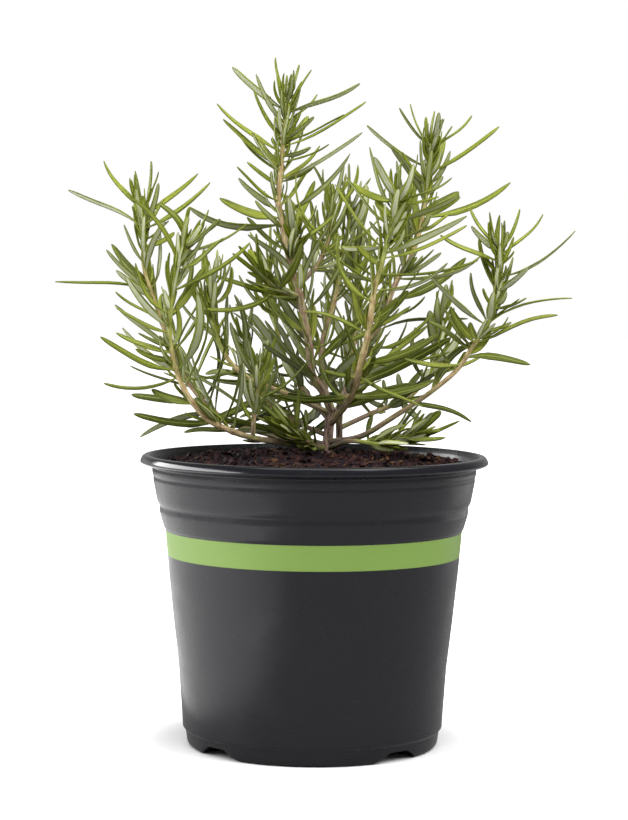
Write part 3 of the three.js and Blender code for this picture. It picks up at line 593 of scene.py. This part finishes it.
def foliage():
    """Waxy leaves: yellow-green when young, deeper with age, with a pale midrib and a felted underside."""
    paint = Material("foliage", Roughness=0.34, Specular_IOR_Level=0.2, **SKIN)
    paint.set(Subsurface_Radius=(0.8, 1.0, 0.2))
    where = paint.place()
    tone, age, across, along, below = map(paint.value, ("tone", "age", "across", "along", "below"))
    side = paint.sums("ABSOLUTE", across)
    mottled = paint.grain(where, 260, 2)
    streaked = paint.grain(paint.vector(paint.times(across, 2.2), along, paint.times(tone, 90)), 1.5, 2)
    young, grown, old = (paint.mixed(tone, *GREEN[key]) for key in ("young", "grown", "old"))
    green = paint.laid(paint.laid(young, grown, age, 0.05, 0.5), old, age, 0.5, 1.0)
    green = paint.laid(green, GREEN["mottle"], mottled, 0.35, 0.75, 0.25)
    # Dark streaks along the blade: partly the leaf's own colour, partly painted shade of its rolled surface.
    green = paint.laid(green, GREEN["streak_and_shade"], streaked, 0.45, 0.62, 0.7)
    green = paint.laid(green, GREEN["foot"], along, 0.22, 0.0, 0.55)
    green = paint.laid(green, GREEN["rib"], side, 0.16, 0.02, 0.6)
    # The felted underside: its own pale colour, made paler still as a painted sheen.
    felt_and_sheen = paint.laid(paint.mixed(mottled, *GREEN["felt_and_sheen"]), GREEN["bare"], age, 0.4, 1.0, 0.55)
    felt_and_sheen = paint.laid(felt_and_sheen, green, tone, 0.75, 0.25, 0.7)
    felt_and_sheen = paint.laid(felt_and_sheen, green, side, 0.12, 0.03, 0.6)
    felt_and_sheen = paint.laid(felt_and_sheen, green, side, 0.42, 0.66)
    # Painted shade: the upper face darkened towards its margins, where they roll under.
    upper = paint.laid(green, GREEN["edge"], side, 0.72, 0.98, 0.5)
    colour = paint.laid(upper, felt_and_sheen, below, 0.2, 0.6)
    end = paint.plus(along, paint.times(tone, 0.02))
    paint.set(Base_Color=paint.laid(colour, GREEN["tip"], end, 0.975, 1.0, 0.5))
    waxy = paint.between(mottled, 0.3, 0.7, 0.24, 0.36)
    felted = paint.times(paint.between(below, 0.4, 0.8), paint.between(side, 0.5, 0.75, 0.4, 0.0))
    paint.set(Roughness=paint.plus(waxy, felted))
    paint.bump(paint.plus(streaked, paint.grain(where, 500, 1)), 0.00015, 0.5)
    return paint.made


# ---------- the pot ----------

def notched(points, lift):
    """Raises the points of the foot that lie in a notch: its roof, and its two sloping sides."""
    for p in points:
        out = hypot(p[0], p[1])
        if out < NOTCH.inner:
            continue
        turn = (degrees(atan2(p[1], p[0])) - NOTCH.turn + 45) % 90 - 45
        aside = abs(out * sin(radians(turn)))
        slope = (NOTCH.mouth / 2 + lift - aside) / ((NOTCH.mouth - NOTCH.roof) / 2)
        if slope > 0:
            inward = min(1.0, (out - NOTCH.inner) / NOTCH.run)
            p[2] = max(p[2], (NOTCH.height + lift) * min(1.0, slope) * inward)


def drain_cutter():
    """Four round bars, where the drain holes are."""
    bars = Surface()
    for i in range(4):
        turn = radians(NOTCH.turn + 90 * i)
        middle = np.array([cos(turn), sin(turn), 0]) * DRAIN.at
        ends = [(DRAIN.radius, side * DRAIN.depth / 2) for side in (-1, 1)]
        bars.add(lathe(ends, DRAIN.sides) + middle, tube_faces(2, DRAIN.sides))
    return bars.piece("cutter")


def make_pot(plastic):
    outside = rounded(POT_OUTSIDE, POT.steps)
    inside = rounded([POT_OUTSIDE[-1], *POT_INSIDE], POT.steps)[1:]
    outer, inner = lathe(outside, POT.sides), lathe(inside, POT.sides)
    notched(outer, 0)
    notched(inner, POT.wall)
    surface = Surface()
    surface.add(np.vstack([outer, inner]), tube_faces(len(outside) + len(inside), POT.sides))
    pot, cutter = surface.piece("nursery_pot", plastic), drain_cutter()
    cut = pot.modifiers.new("drains", "BOOLEAN")
    cut.operation, cut.solver, cut.object = "DIFFERENCE", "EXACT", cutter
    graph = bpy.context.evaluated_depsgraph_get()
    mesh = bpy.data.meshes.new_from_object(pot.evaluated_get(graph))
    pot.modifiers.clear()
    pot.data = mesh
    bpy.data.objects.remove(cutter)
    mesh.shade_smooth()
    mesh.set_sharp_from_angle(angle=radians(POT.sharp))
    return pot


# ---------- the mix ----------

def soil_height(x, y):
    """Height of the mix: a low mound with a wavy top."""
    fall = SOIL.fall * (np.hypot(x, y) / SOIL.edge) ** 3
    waves = (np.sin(x * 0.71 + 1.3) * np.cos(y * 0.83) + np.sin(x * 1.9 - y * 1.4) * 0.6
             + np.cos(x * 1.1 + y * 2.3) * 0.5)
    return SOIL.top - fall + SOIL.grain * waves


def make_soil(mix):
    surface = Surface("tone")
    sides = SOIL.sides
    body = lathe([*SOIL.floor, *SOIL.side], sides)
    radii = np.sqrt(np.linspace(1, SOIL.middle ** 2, SOIL.rings)) * SOIL.rim
    top = lathe([(r, 0) for r in radii], sides)
    for p in top:
        p[2] = soil_height(p[0], p[1]) + SOIL.grain * noise.fractal(Vector(p) * 0.55, 0.8, 2.2, 5)
    points = np.vstack([body, top])
    notched(points, POT.wall + SOIL.clear)
    tones = [0.35 + 0.3 * noise.noise(Vector(p) * 0.9) for p in points]
    surface.add(points, tube_faces(len(points) // sides, sides), tone=np.array(tones))
    scatter_crumbs(surface)
    scatter_chips(surface)
    scatter_fibres(surface)
    thing = surface.piece("potting_mix", mix)
    thing.data.set_sharp_from_angle(angle=radians(SOIL.sharp))
    return thing


def either_way(draw, most):
    return draw.uniform(-most, most)


def on_soil(draw, margin, raised=0.0):
    """A drawn place on the mix, evenly spread over it, in mm."""
    out = (SOIL.rim - margin) * sqrt(draw.random())
    turn = draw.uniform(0, 2 * pi)
    x, y = out * cos(turn), out * sin(turn)
    return np.array([x, y, soil_height(x, y) + raised])


def icosahedron():
    """Points and faces of an icosahedron with a radius of 1."""
    golden = (1 + sqrt(5)) / 2
    points = np.array([p for a in (-1, 1) for b in (-golden, golden)
                       for p in ((0, a, b), (a, b, 0), (b, 0, a))], float)
    over_an_edge = 2.1
    faces = []
    for i, j, k in combinations(range(len(points)), 3):
        a, b, c = points[[i, j, k]]
        if max(norm(a - b), norm(b - c), norm(a - c)) < over_an_edge:
            outward = np.cross(b - a, c - a) @ (a + b + c) > 0
            faces.append((i, j, k) if outward else (i, k, j))
    return points / norm(points[0]), faces


def dented(shape, draw, dents):
    """A shape with each of its corners moved in or out."""
    return shape * np.array([[draw.uniform(*dents)] for _ in shape])


def scatter_crumbs(surface):
    """Rounded and angular crumbs of peat, partly sunk in the mix, and paler towards the right."""
    draw = random.Random(CRUMBS.seed)
    ball, faces = icosahedron()
    small, large = CRUMBS.size
    for _ in range(CRUMBS.count):
        size = small + (large - small) * draw.random() ** 3
        shape = dented(ball * [draw.uniform(*CRUMBS.stretch) for _ in range(3)], draw, CRUMBS.dents)
        place = on_soil(draw, CRUMBS.margin)
        place[2] += size * draw.uniform(*CRUMBS.raised)
        # The tone rises towards the right, so crumbs there are more often rust and tan.
        tone = draw.random() * (1 + CRUMBS.drier * place[0] / SOIL.rim)
        turn = np.array(Euler([draw.uniform(0, 2 * pi) for _ in range(3)]).to_matrix())
        surface.add(shape @ turn * size + place, faces, tone=min(1.0, tone))


def scatter_chips(surface):
    """Flat chips of bark, long and thin, lying on the mix."""
    draw = random.Random(CHIPS.seed)
    ball, faces = icosahedron()
    tilt = CHIPS.tilt
    for _ in range(CHIPS.count):
        long = draw.uniform(*CHIPS.long)
        shape = ball * (long, long * draw.uniform(*CHIPS.wide), long * CHIPS.thick)
        shape = dented(shape, draw, CHIPS.dents)
        lie = Euler((either_way(draw, tilt), either_way(draw, tilt), draw.uniform(0, ANY_TURN)))
        place = on_soil(draw, CHIPS.margin, CHIPS.raised)
        surface.add(shape @ np.array(lie.to_matrix()).T + place, faces, tone=draw.choice(CHIPS.tones))


def scatter_fibres(surface):
    """Fine root and peat fibres, arched over the crumbs with both ends in the mix."""
    draw = random.Random(FIBRES.seed)
    for _ in range(FIBRES.count):
        start = on_soil(draw, FIBRES.margin)
        turn, long = draw.uniform(0, ANY_TURN), draw.uniform(*FIBRES.long)
        end = start + np.array([cos(turn), sin(turn), 0]) * long
        if hypot(end[0], end[1]) > SOIL.rim - FIBRES.clear:
            continue
        end[2] = soil_height(end[0], end[1]) - FIBRES.sunk
        start[2] -= FIBRES.sunk
        arch = np.array([either_way(draw, 1), either_way(draw, 1), draw.uniform(*FIBRES.arch)])
        points = bend((start, (start + end) / 2 + arch, end), FIBRES.steps)
        thick = np.full(len(points), draw.uniform(*FIBRES.thick))
        swept(surface, points, thick, FIBRES.sides, tone=draw.choice(FIBRES.tones))


# ---------- curves ----------

class Curve:
    """A centripetal spline through points, read by shares of its length."""

    DIVISIONS = 200
    NUDGE = 1e-4

    def __init__(self, points):
        p = np.array(points, float)
        self.p = np.vstack([2 * p[0] - p[1], p, 2 * p[-1] - p[-2]])
        chords = norm(np.diff(self.marks(self.DIVISIONS), axis=0), axis=1)
        self.lengths = np.concatenate([[0], np.cumsum(chords)])
        self.long = self.lengths[-1]

    def at(self, t):
        last = len(self.p) - 4
        span = min(int(t * (last + 1)), last)
        w = t * (last + 1) - span
        p0, p1, p2, p3 = self.p[span:span + 4]
        d0, d1, d2 = (sqrt(norm(b - a)) for a, b in ((p0, p1), (p1, p2), (p2, p3)))
        m1 = d1 * ((p1 - p0) / d0 - (p2 - p0) / (d0 + d1) + (p2 - p1) / d1)
        m2 = d1 * ((p2 - p1) / d1 - (p3 - p1) / (d1 + d2) + (p3 - p2) / d2)
        return p1 + m1 * w + (3 * (p2 - p1) - 2 * m1 - m2) * w ** 2 + (2 * (p1 - p2) + m1 + m2) * w ** 3

    def marks(self, pieces):
        return np.array([self.at(i / pieces) for i in range(pieces + 1)])

    def time(self, share):
        return np.interp(share * self.long, self.lengths, np.arange(self.DIVISIONS + 1) / self.DIVISIONS)

    def point(self, share):
        return self.at(self.time(share))

    def tangent(self, share):
        t = self.time(share)
        return unit(self.at(min(t + self.NUDGE, 1)) - self.at(max(t - self.NUDGE, 0)))


def swept(surface, points, radii, sides, section=None, **values):
    """A round tube along points; section(ring, turns) gives a factor on its radius. Its frame doesn't twist.

    Where the surface has values for them, it keeps each point's place round the tube and along it.
    """
    points = np.array(points, float)
    ways = np.gradient(points, axis=0)
    ways /= norm(ways, axis=1)[:, None]
    side = np.array([0.9, 0.3, 0.2])
    turns = np.linspace(0, 2 * pi, sides, endpoint=False)
    rings = []
    for i, (centre, way, radius) in enumerate(zip(points, ways, radii)):
        side = unit(level(side, way))
        reach = radius * (section(i, turns) if section else np.ones(sides))
        up = np.cross(way, side)
        rings.append(centre + np.outer(np.cos(turns) * reach, side) + np.outer(np.sin(turns) * reach, up))
    spread = {name: np.repeat(np.broadcast_to(v, len(points)), sides) for name, v in values.items()}
    steps = norm(np.diff(points, axis=0), axis=1)
    wrap = {"round_x": np.tile(np.cos(turns), len(points)), "round_y": np.tile(np.sin(turns), len(points)),
            "length": np.repeat(np.concatenate([[0], np.cumsum(steps)]), sides)}
    spread.update({name: v for name, v in wrap.items() if name in surface.values})
    surface.add(np.vstack(rings), tube_faces(len(points), sides), **spread)


# ---------- where the leaves are ----------

def draws_from(seed):
    """Seeded draws from 0 to 1, made as those that the solids are placed with."""
    modulus, state = 2147483647, seed
    while True:
        state = state * 16807 % modulus
        yield state / modulus


class Room:
    """Straight pieces of every stem and leaf so far, which a new leaf has to clear."""

    def __init__(self):
        self.pieces = np.zeros((0, 9))

    def add(self, points, thick, owner, leaf=False):
        """Adds pieces, each with its start, end, thickness, owner and whether it is the foot of a leaf."""
        rest = np.tile((thick, owner, 0.0), (len(points) - 1, 1))
        rest[0, 2] = leaf
        self.pieces = np.vstack([self.pieces, np.hstack([points[:-1], points[1:], rest])])

    def gaps(self, start, end):
        """Shortest distance from one straight piece to every other."""
        starts, ends = self.pieces[:, :3], self.pieces[:, 3:6]
        u, v, w = end - start, ends - starts, start - starts
        uu, vv, uv = u @ u, (v * v).sum(1), v @ u
        uw, vw = w @ u, (w * v).sum(1)
        spread = uu * vv - uv * uv
        s = np.where(spread > 1e-9, np.clip((uv * vw - vv * uw) / np.maximum(spread, 1e-12), 0, 1), 0)
        t = np.clip((uv * s + vw) / vv, 0, 1)
        s = np.clip((uv * t - uw) / uu, 0, 1)
        return norm(w + s[:, None] * u - t[:, None] * v, axis=1)

    def clears(self, points, owner, thick, crossing):
        low = np.hypot(points[:, 0], points[:, 1]) < GROUND.rim
        if ((low[:-1] | low[1:]) & (np.minimum(points[:-1, 2], points[1:, 2]) < GROUND.height)).any():
            return False
        others, owners, foot = self.pieces[:, 6:].T
        own = owners == owner
        for i in range(len(points) - 1):
            gap = self.gaps(points[i], points[i + 1])
            if (gap[~own] <= thick + others[~own]).any():
                return False
            if i > 0 and (gap[own & (foot == 0)] <= crossing).any():
                return False
        return True


class Shoot:
    """One shoot of a stem: its curve, and the chords that its leaves stand on."""

    def __init__(self, stem, path, root, tip, leafy, tips):
        self.stem, self.curve = stem, Curve(path)
        self.root, self.tip, self.leafy, self.tips = root, tip, leafy, tips
        self.rings = max(STEM.fewest, round(self.curve.long / STEM.step))
        self.pairs, self.held = [], []

    def is_held(self, share, out):
        """Whether a traced leaf already stands at a place along and round the shoot."""
        least = cos(radians(HELD.turn))
        near = HELD.near / self.curve.long
        return any(abs(s - share) < near and way @ out > least for s, way in self.held)

    def middle(self, share):
        below = min(int(share * self.rings), self.rings - 1)
        start, end = self.curve.point(below / self.rings), self.curve.point((below + 1) / self.rings)
        return start + (end - start) * (share * self.rings - below)

    def first_way(self, share):
        """The way from which leaves are turned round the shoot."""
        return unit(level(np.array(PAIR["start"], float), self.curve.tangent(share)))

    def beside(self, share, out, draw, looks):
        """A drawn way that leans off the shoot, near a way out of it."""
        along = self.curve.tangent(share)
        out = spun(out, along, either_way(draw, looks.turn))
        angle = radians(draw.uniform(*looks.lean))
        return unit(along * cos(angle) + out * sin(angle))


class Plant:
    """Every leaf of the plant, by the rule that the solids follow, and the small ones between them."""

    def __init__(self):
        self.room = Room()
        self.room.add(Curve(TRUNK.path).marks(TRUNK.steps), TRUNK.root, -1)
        self.stems = []
        for i, (name, length, brown, golden, shoots) in enumerate(STEMS):
            stem = Values(name=name, length=length, brown=brown, golden=golden, index=i, leaves=[])
            stem.shoots = [Shoot(stem, *shoot) for shoot in shoots]
            self.stems.append(stem)
        shoots = [shoot for stem in self.stems for shoot in stem.shoots]
        for shoot in shoots:
            self.room.add(shoot.curve.marks(STEM.pieces), shoot.root, shoot.stem.index)
        for shoot in shoots:
            self.traced(shoot)
        for stem in self.stems:
            draw = draws_from(PAIR["seed"] * (stem.index + 1))
            for shoot in stem.shoots:
                self.paired(shoot, draw)
        draw = random.Random(TUFT.seed)
        for stem in self.stems:
            self.tufts(stem, draw)

    def add(self, shoot, share, tip, bow, width=1.0, apart=LEAF.apart, crossing=LEAF.crossing):
        """Stands a leaf on its shoot if there is room for it."""
        root, along = shoot.middle(share), shoot.curve.tangent(share)
        out = unit(level(tip - root, along))
        face = unit(level(along - out, unit(tip - root)))
        foot = root + out * LEAF.sunk
        middle = foot + (tip - foot) / 2 - face * 2 * bow * norm(tip - foot)
        line = (foot, middle, tip)
        points = bend(line, LEAF.pieces)
        if not self.room.clears(points, shoot.stem.index, apart / 2, crossing):
            return False
        self.room.add(points, apart / 2, shoot.stem.index, True)
        shoot.stem.leaves.append(Values(line=line, face=face, share=share, long=norm(tip - root), out=out,
                                        shoot=shoot, width=width))
        return True

    def traced(self, shoot):
        for hundredths, x, y, z, *bow in shoot.tips:
            share, tip = hundredths / 100, np.array([x, y, z], float)
            if self.add(shoot, share, tip, bow[0] if bow else LEAF.bow):
                shoot.held.append((share, shoot.stem.leaves[-1].out))

    def paired(self, shoot, draw):
        """Pairs of opposite leaves, each a quarter turn on from the last, closing up towards the apex.

        A place that a traced leaf holds is passed over.
        """
        def drawn(key):
            least, more = DRAWN[key]
            return least + more * next(draw)

        def eased(key, share):
            low, high = PAIR[key]
            return (1 - share) * low + share * high

        long = shoot.curve.long
        count = int(long * (1 - shoot.leafy) / LEAF.spacing)
        for i in range(count + 1):
            share = min(shoot.leafy + i * LEAF.spacing / long, LEAF.last)
            height = (share - shoot.leafy) / (1 - shoot.leafy)
            shoot.pairs.append(share)
            for k in range(2):
                turn = (i % 2) * 90 + k * 180 + drawn("turn")
                size = shoot.stem.length * eased("size", height ** 2) * drawn("size")
                lean = eased("lean", height) + drawn("lean")
                lift, bow = drawn("lift"), drawn("bow")
                along, start = shoot.curve.tangent(share), shoot.first_way(share)
                turn = self.off_front(spun(start, along, turn), turn, 1 if i % 4 < 2 else -1)
                if not shoot.is_held(share, spun(start, along, turn)):
                    self.first_clear(shoot, share, turn, size, lean, lift, bow)

    @staticmethod
    def off_front(out, turn, side):
        """A leaf's turn round its stem, swung to one side if the leaf would face the front."""
        if -out[1] < cos(radians(FRONT.within)):
            return turn
        aside = degrees(atan2(out[0], -out[1]))
        return turn - aside + side * (FRONT.aside + FRONT.spread * abs(aside))

    def first_clear(self, shoot, share, turn, size, lean, lift, bow):
        """Tries a leaf as drawn, then swung round its stem or shorter, until it clears its neighbours."""
        root, along, start = shoot.middle(share), shoot.curve.tangent(share), shoot.first_way(share)
        for swing, shrink in TRIES:
            way = along * cos(radians(lean)) + spun(start, along, turn + swing) * sin(radians(lean))
            way[2] += lift
            tip = root + unit(way) * max(size * shrink, LEAF.shortest)
            if self.add(shoot, share, tip, bow):
                return

    def tufts(self, stem, draw):
        """Small leaves: some in the corner above each leaf, and a few round each apex."""
        least, more = TUFT.size
        for leaf in list(stem.leaves):
            shoot = leaf.shoot
            for _ in range(TUFT.each):
                size = leaf.long * (least + more * draw.random())
                reach = shoot.beside(leaf.share, leaf.out, draw, TUFT) * size
                share = min(leaf.share + TUFT.up / shoot.curve.long, APEX.top)
                bow, wide = draw.uniform(*TUFT.bow), draw.uniform(*TUFT.width)
                self.add(shoot, share, shoot.middle(share) + reach, bow, wide, *TUFT.fit)
        least, more = APEX.size
        for shoot in stem.shoots:
            for k in range(APEX.count):
                share = APEX.top - k * APEX.every / shoot.curve.long
                out = spun(shoot.first_way(1), shoot.curve.tangent(1), k * APEX.spiral)
                reach = shoot.beside(share, out, draw, APEX) * (least + more * draw.random())
                wide, bow = draw.uniform(*APEX.width), draw.uniform(*APEX.bow)
                self.add(shoot, share, shoot.middle(share) + reach, bow, wide, *APEX.fit)


# ---------- leaves and wood ----------

def leaf_width(share, taper):
    """Half the width of a leaf as a share of its widest: a narrow foot, a slow taper and a blunt end."""
    foot = FORM.foot + (1 - FORM.foot) * min(1.0, share / FORM.full) ** 0.8
    blade = 1 - taper * max(0.0, (share - FORM.wide) / (1 - FORM.wide)) ** FORM.ease
    end = max(0.0, (share - FORM.end) / (1 - FORM.end))
    return foot * blade * max(sqrt(1 - end ** 2), FORM.blunt)


def add_leaf(surface, leaf, draw, age):
    foot, middle, tip = leaf.line
    width = LEAF.width / 2 * leaf.width * (draw.uniform(*FORM.width) + FORM.aged * age)
    taper = draw.uniform(*FORM.taper)
    roll, twist = either_way(draw, FORM.roll), either_way(draw, FORM.twist)
    wave, sway = (either_way(draw, most) * leaf.long for most in (FORM.wave, FORM.sway))
    rings = []
    for share in LEAF_RINGS:
        way = unit((middle - foot) * (1 - share) + (tip - middle) * share)
        side = unit(np.cross(way, leaf.face))
        side = spun(side, way, roll * min(1.0, share * 3) + twist * share)
        face = np.cross(side, way)
        wide = width * leaf_width(share, taper)
        thick = LEAF.thickness * min(1.0, 0.4 + 0.6 * wide / width) * leaf.width ** 0.5
        centre = arc_at(foot, middle, tip, share) + side * wave * sin(pi * share)
        centre = centre + face * sway * sin(2 * pi * share)
        rings.extend(centre + side * across * wide + face * deep * thick for across, deep, _ in LEAF_SECTION)
    across, _, below = np.array(LEAF_SECTION).T
    count, sides = len(LEAF_RINGS), len(LEAF_SECTION)
    surface.add(rings, tube_faces(count, sides), along=np.repeat(LEAF_RINGS, sides), tone=draw.random(),
                age=age, across=np.tile(across, count), below=np.tile(below, count))


def make_leaves(stem, green):
    draw = random.Random(stem.index + AGE.seed)
    surface = Surface("along", "across", "below", "tone", "age")
    for leaf in stem.leaves:
        low = 1 - min(1.0, max(0.0, (leaf.line[0][2] - AGE.above) / AGE.over))
        age = AGE.low * low + AGE.foot * (1 - leaf.share) + either_way(draw, AGE.drawn)
        if leaf.width < 1:
            age -= AGE.small
        add_leaf(surface, leaf, draw, min(1.0, max(0.0, age)))
    return surface.piece("leaves_" + stem.name, green)


def ribbed(ring, turns):
    """Low ribs along young wood."""
    return 1 + 0.05 * np.cos(4 * turns) + 0.02 * np.sin(9 * turns + ring * 0.3)


def make_wood(stem, wood):
    """A stem's own wood: it tapers, swells at each pair of leaves, and has low ribs."""
    surface = Surface("up", "golden", "node", "round_x", "round_y", "length")
    for shoot in stem.shoots:
        long = shoot.curve.long
        shares = np.linspace(0, 1, int(long / STEM.ring) + 2)
        points = [shoot.curve.point(s) for s in shares]
        swell = sum(np.exp(-((shares - pair) * long / STEM.node) ** 2) for pair in shoot.pairs)
        swell = np.minimum(swell, 1)
        radii = (shoot.root + (shoot.tip - shoot.root) * shares) * (1 + STEM.swell * swell)
        radii[-1] *= STEM.end
        swept(surface, points, radii, STEM.sides, ribbed, up=shares / stem.brown, golden=stem.golden,
              node=swell)
    return surface.piece("wood_" + stem.name, wood)


def make_trunk(rough):
    """The woody base: ribbed bark with flakes."""
    surface = Surface("up", "round_x", "round_y", "length")
    curve = Curve(TRUNK.path)
    shares = np.linspace(0, 1, TRUNK.rings)
    points = [curve.point(s) for s in shares]
    radii = TRUNK.root + (TRUNK.tip - TRUNK.root) * shares

    def flaked(ring, turns):
        height = shares[ring] * curve.long
        places = [Vector((cos(t) * 1.6, sin(t) * 1.6, height * 0.22)) for t in turns]
        flakes = np.array([noise.fractal(place, 0.7, 2.1, 4) for place in places])
        return 1 + 0.10 * flakes + 0.04 * np.sin(7 * turns + 0.35 * sin(height * 0.4))

    swept(surface, points, radii, TRUNK.sides, flaked, up=shares)
    return surface.piece("woody_base", rough)


# ---------- the scene ----------

def make_camera():
    data = bpy.data.cameras.new("camera")
    data.sensor_width = CAMERA.sensor
    data.lens = PHOTO.focal / PHOTO.height * CAMERA.sensor
    data.shift_x = (PHOTO.width / 2 - PHOTO.centre_x) / PHOTO.height
    camera = in_scene("camera", data)
    camera.location = CAMERA.place
    camera.rotation_mode = "QUATERNION"
    level_view = Euler((radians(90 - CAMERA.down), 0, 0)).to_quaternion()
    camera.rotation_quaternion = level_view @ Quaternion((0, 0, 1), radians(CAMERA.roll))
    bpy.context.scene.camera = camera


def make_light(name, turn, rise, size, radiance, matt=True, glossy=True):
    """A soft box that faces the plant, turned from the front to the right and raised, in degrees."""
    data = bpy.data.lights.new(name, "AREA")
    data.shape, data.size, data.size_y = "RECTANGLE", *size
    data.energy = radiance * pi * size[0] * size[1]
    light = in_scene(name, data)
    turn, rise = radians(turn), radians(rise)
    way = Vector((sin(turn) * cos(rise), -cos(turn) * cos(rise), sin(rise)))
    light.location = Vector(AIM.at) + way * AIM.distance
    light.rotation_mode = "QUATERNION"
    light.rotation_quaternion = (-way).to_track_quat("-Z", "Y")
    light.visible_camera = False
    light.visible_diffuse = matt
    light.visible_glossy = glossy
    return light


def make_card(name, place, size, radiance, matt):
    """A white card that lies on the floor, and shows in the pot's flank."""
    card = make_light("card_" + name, 0, 0, size, radiance, matt)
    card.location = place
    card.rotation_quaternion = Euler((pi, 0, 0)).to_quaternion()


def make_world():
    """White low at the plant's left, and dim elsewhere; it is seen as plain white."""
    world = bpy.data.worlds.new("studio")
    bpy.context.scene.world = world
    world.use_nodes = True
    paint, background = Paint(world.node_tree), world.node_tree.nodes["Background"].inputs
    way = paint.parts(paint.node("TexCoord")["Generated"])
    low = paint.between(way["Z"], 0.3, 0.05)
    left = paint.times(paint.between(way["X"], -0.15, -0.75, 0.0, WORLD.left), low)
    back = paint.between(way["Y"], 0.55, 0.9, 0.0, WORLD.back)
    lit = paint.plus(paint.sums("MAXIMUM", left, back), WORLD.dim)
    seen = paint.node("LightPath")["Is Camera Ray"]
    paint.feed(background["Strength"], paint.sums("MAXIMUM", lit, seen))
    background["Color"].default_value = (1, 1, 1, 1)


def floor_white():
    """Pale matt paper, which runs out into the white of the surroundings."""
    paint = Material("floor_white", Roughness=0.7, Specular_IOR_Level=0.1)
    seen = paint.node("LightPath")["Is Camera Ray"]
    paint.set(Base_Color=paint.mixed(seen, (FLOOR.lit,) * 3, (FLOOR.seen,) * 3))
    far = paint.between(paint.length(paint.place()), *FLOOR.fade)
    paint.set(Emission_Color=(1, 1, 1, 1), Emission_Strength=paint.times(far, seen))
    return paint.made


def make_stage():
    """A plain white floor and soft studio light."""
    surface = Surface()
    surface.add(lathe([(FLOOR.radius, 0)], FLOOR.sides), [tuple(range(FLOOR.sides))])
    surface.piece("floor", floor_white())
    make_world()
    for name, card in CARDS.items():
        make_card(name, *card)
    for name, light in BOXES.items():
        make_light(name, *light)
    bpy.context.scene.view_settings.view_transform = "Standard"


def dress(piece, slot, *nodes):
    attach(piece, "root")
    if nodes:
        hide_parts(*nodes)


def main():
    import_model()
    make_camera()
    make_stage()
    dress(make_pot(pot_plastic()), "pot_plastic", "pot")
    dress(make_soil(potting_mix()), "potting_mix", "soil")
    dress(make_trunk(bark()), "bark", "trunk")
    wood, green = young_stem(), foliage()
    for stem in Plant().stems:
        dress(make_wood(stem, wood), "young_stem")
        dress(make_leaves(stem, green), "foliage", "stem_" + stem.name)


main()
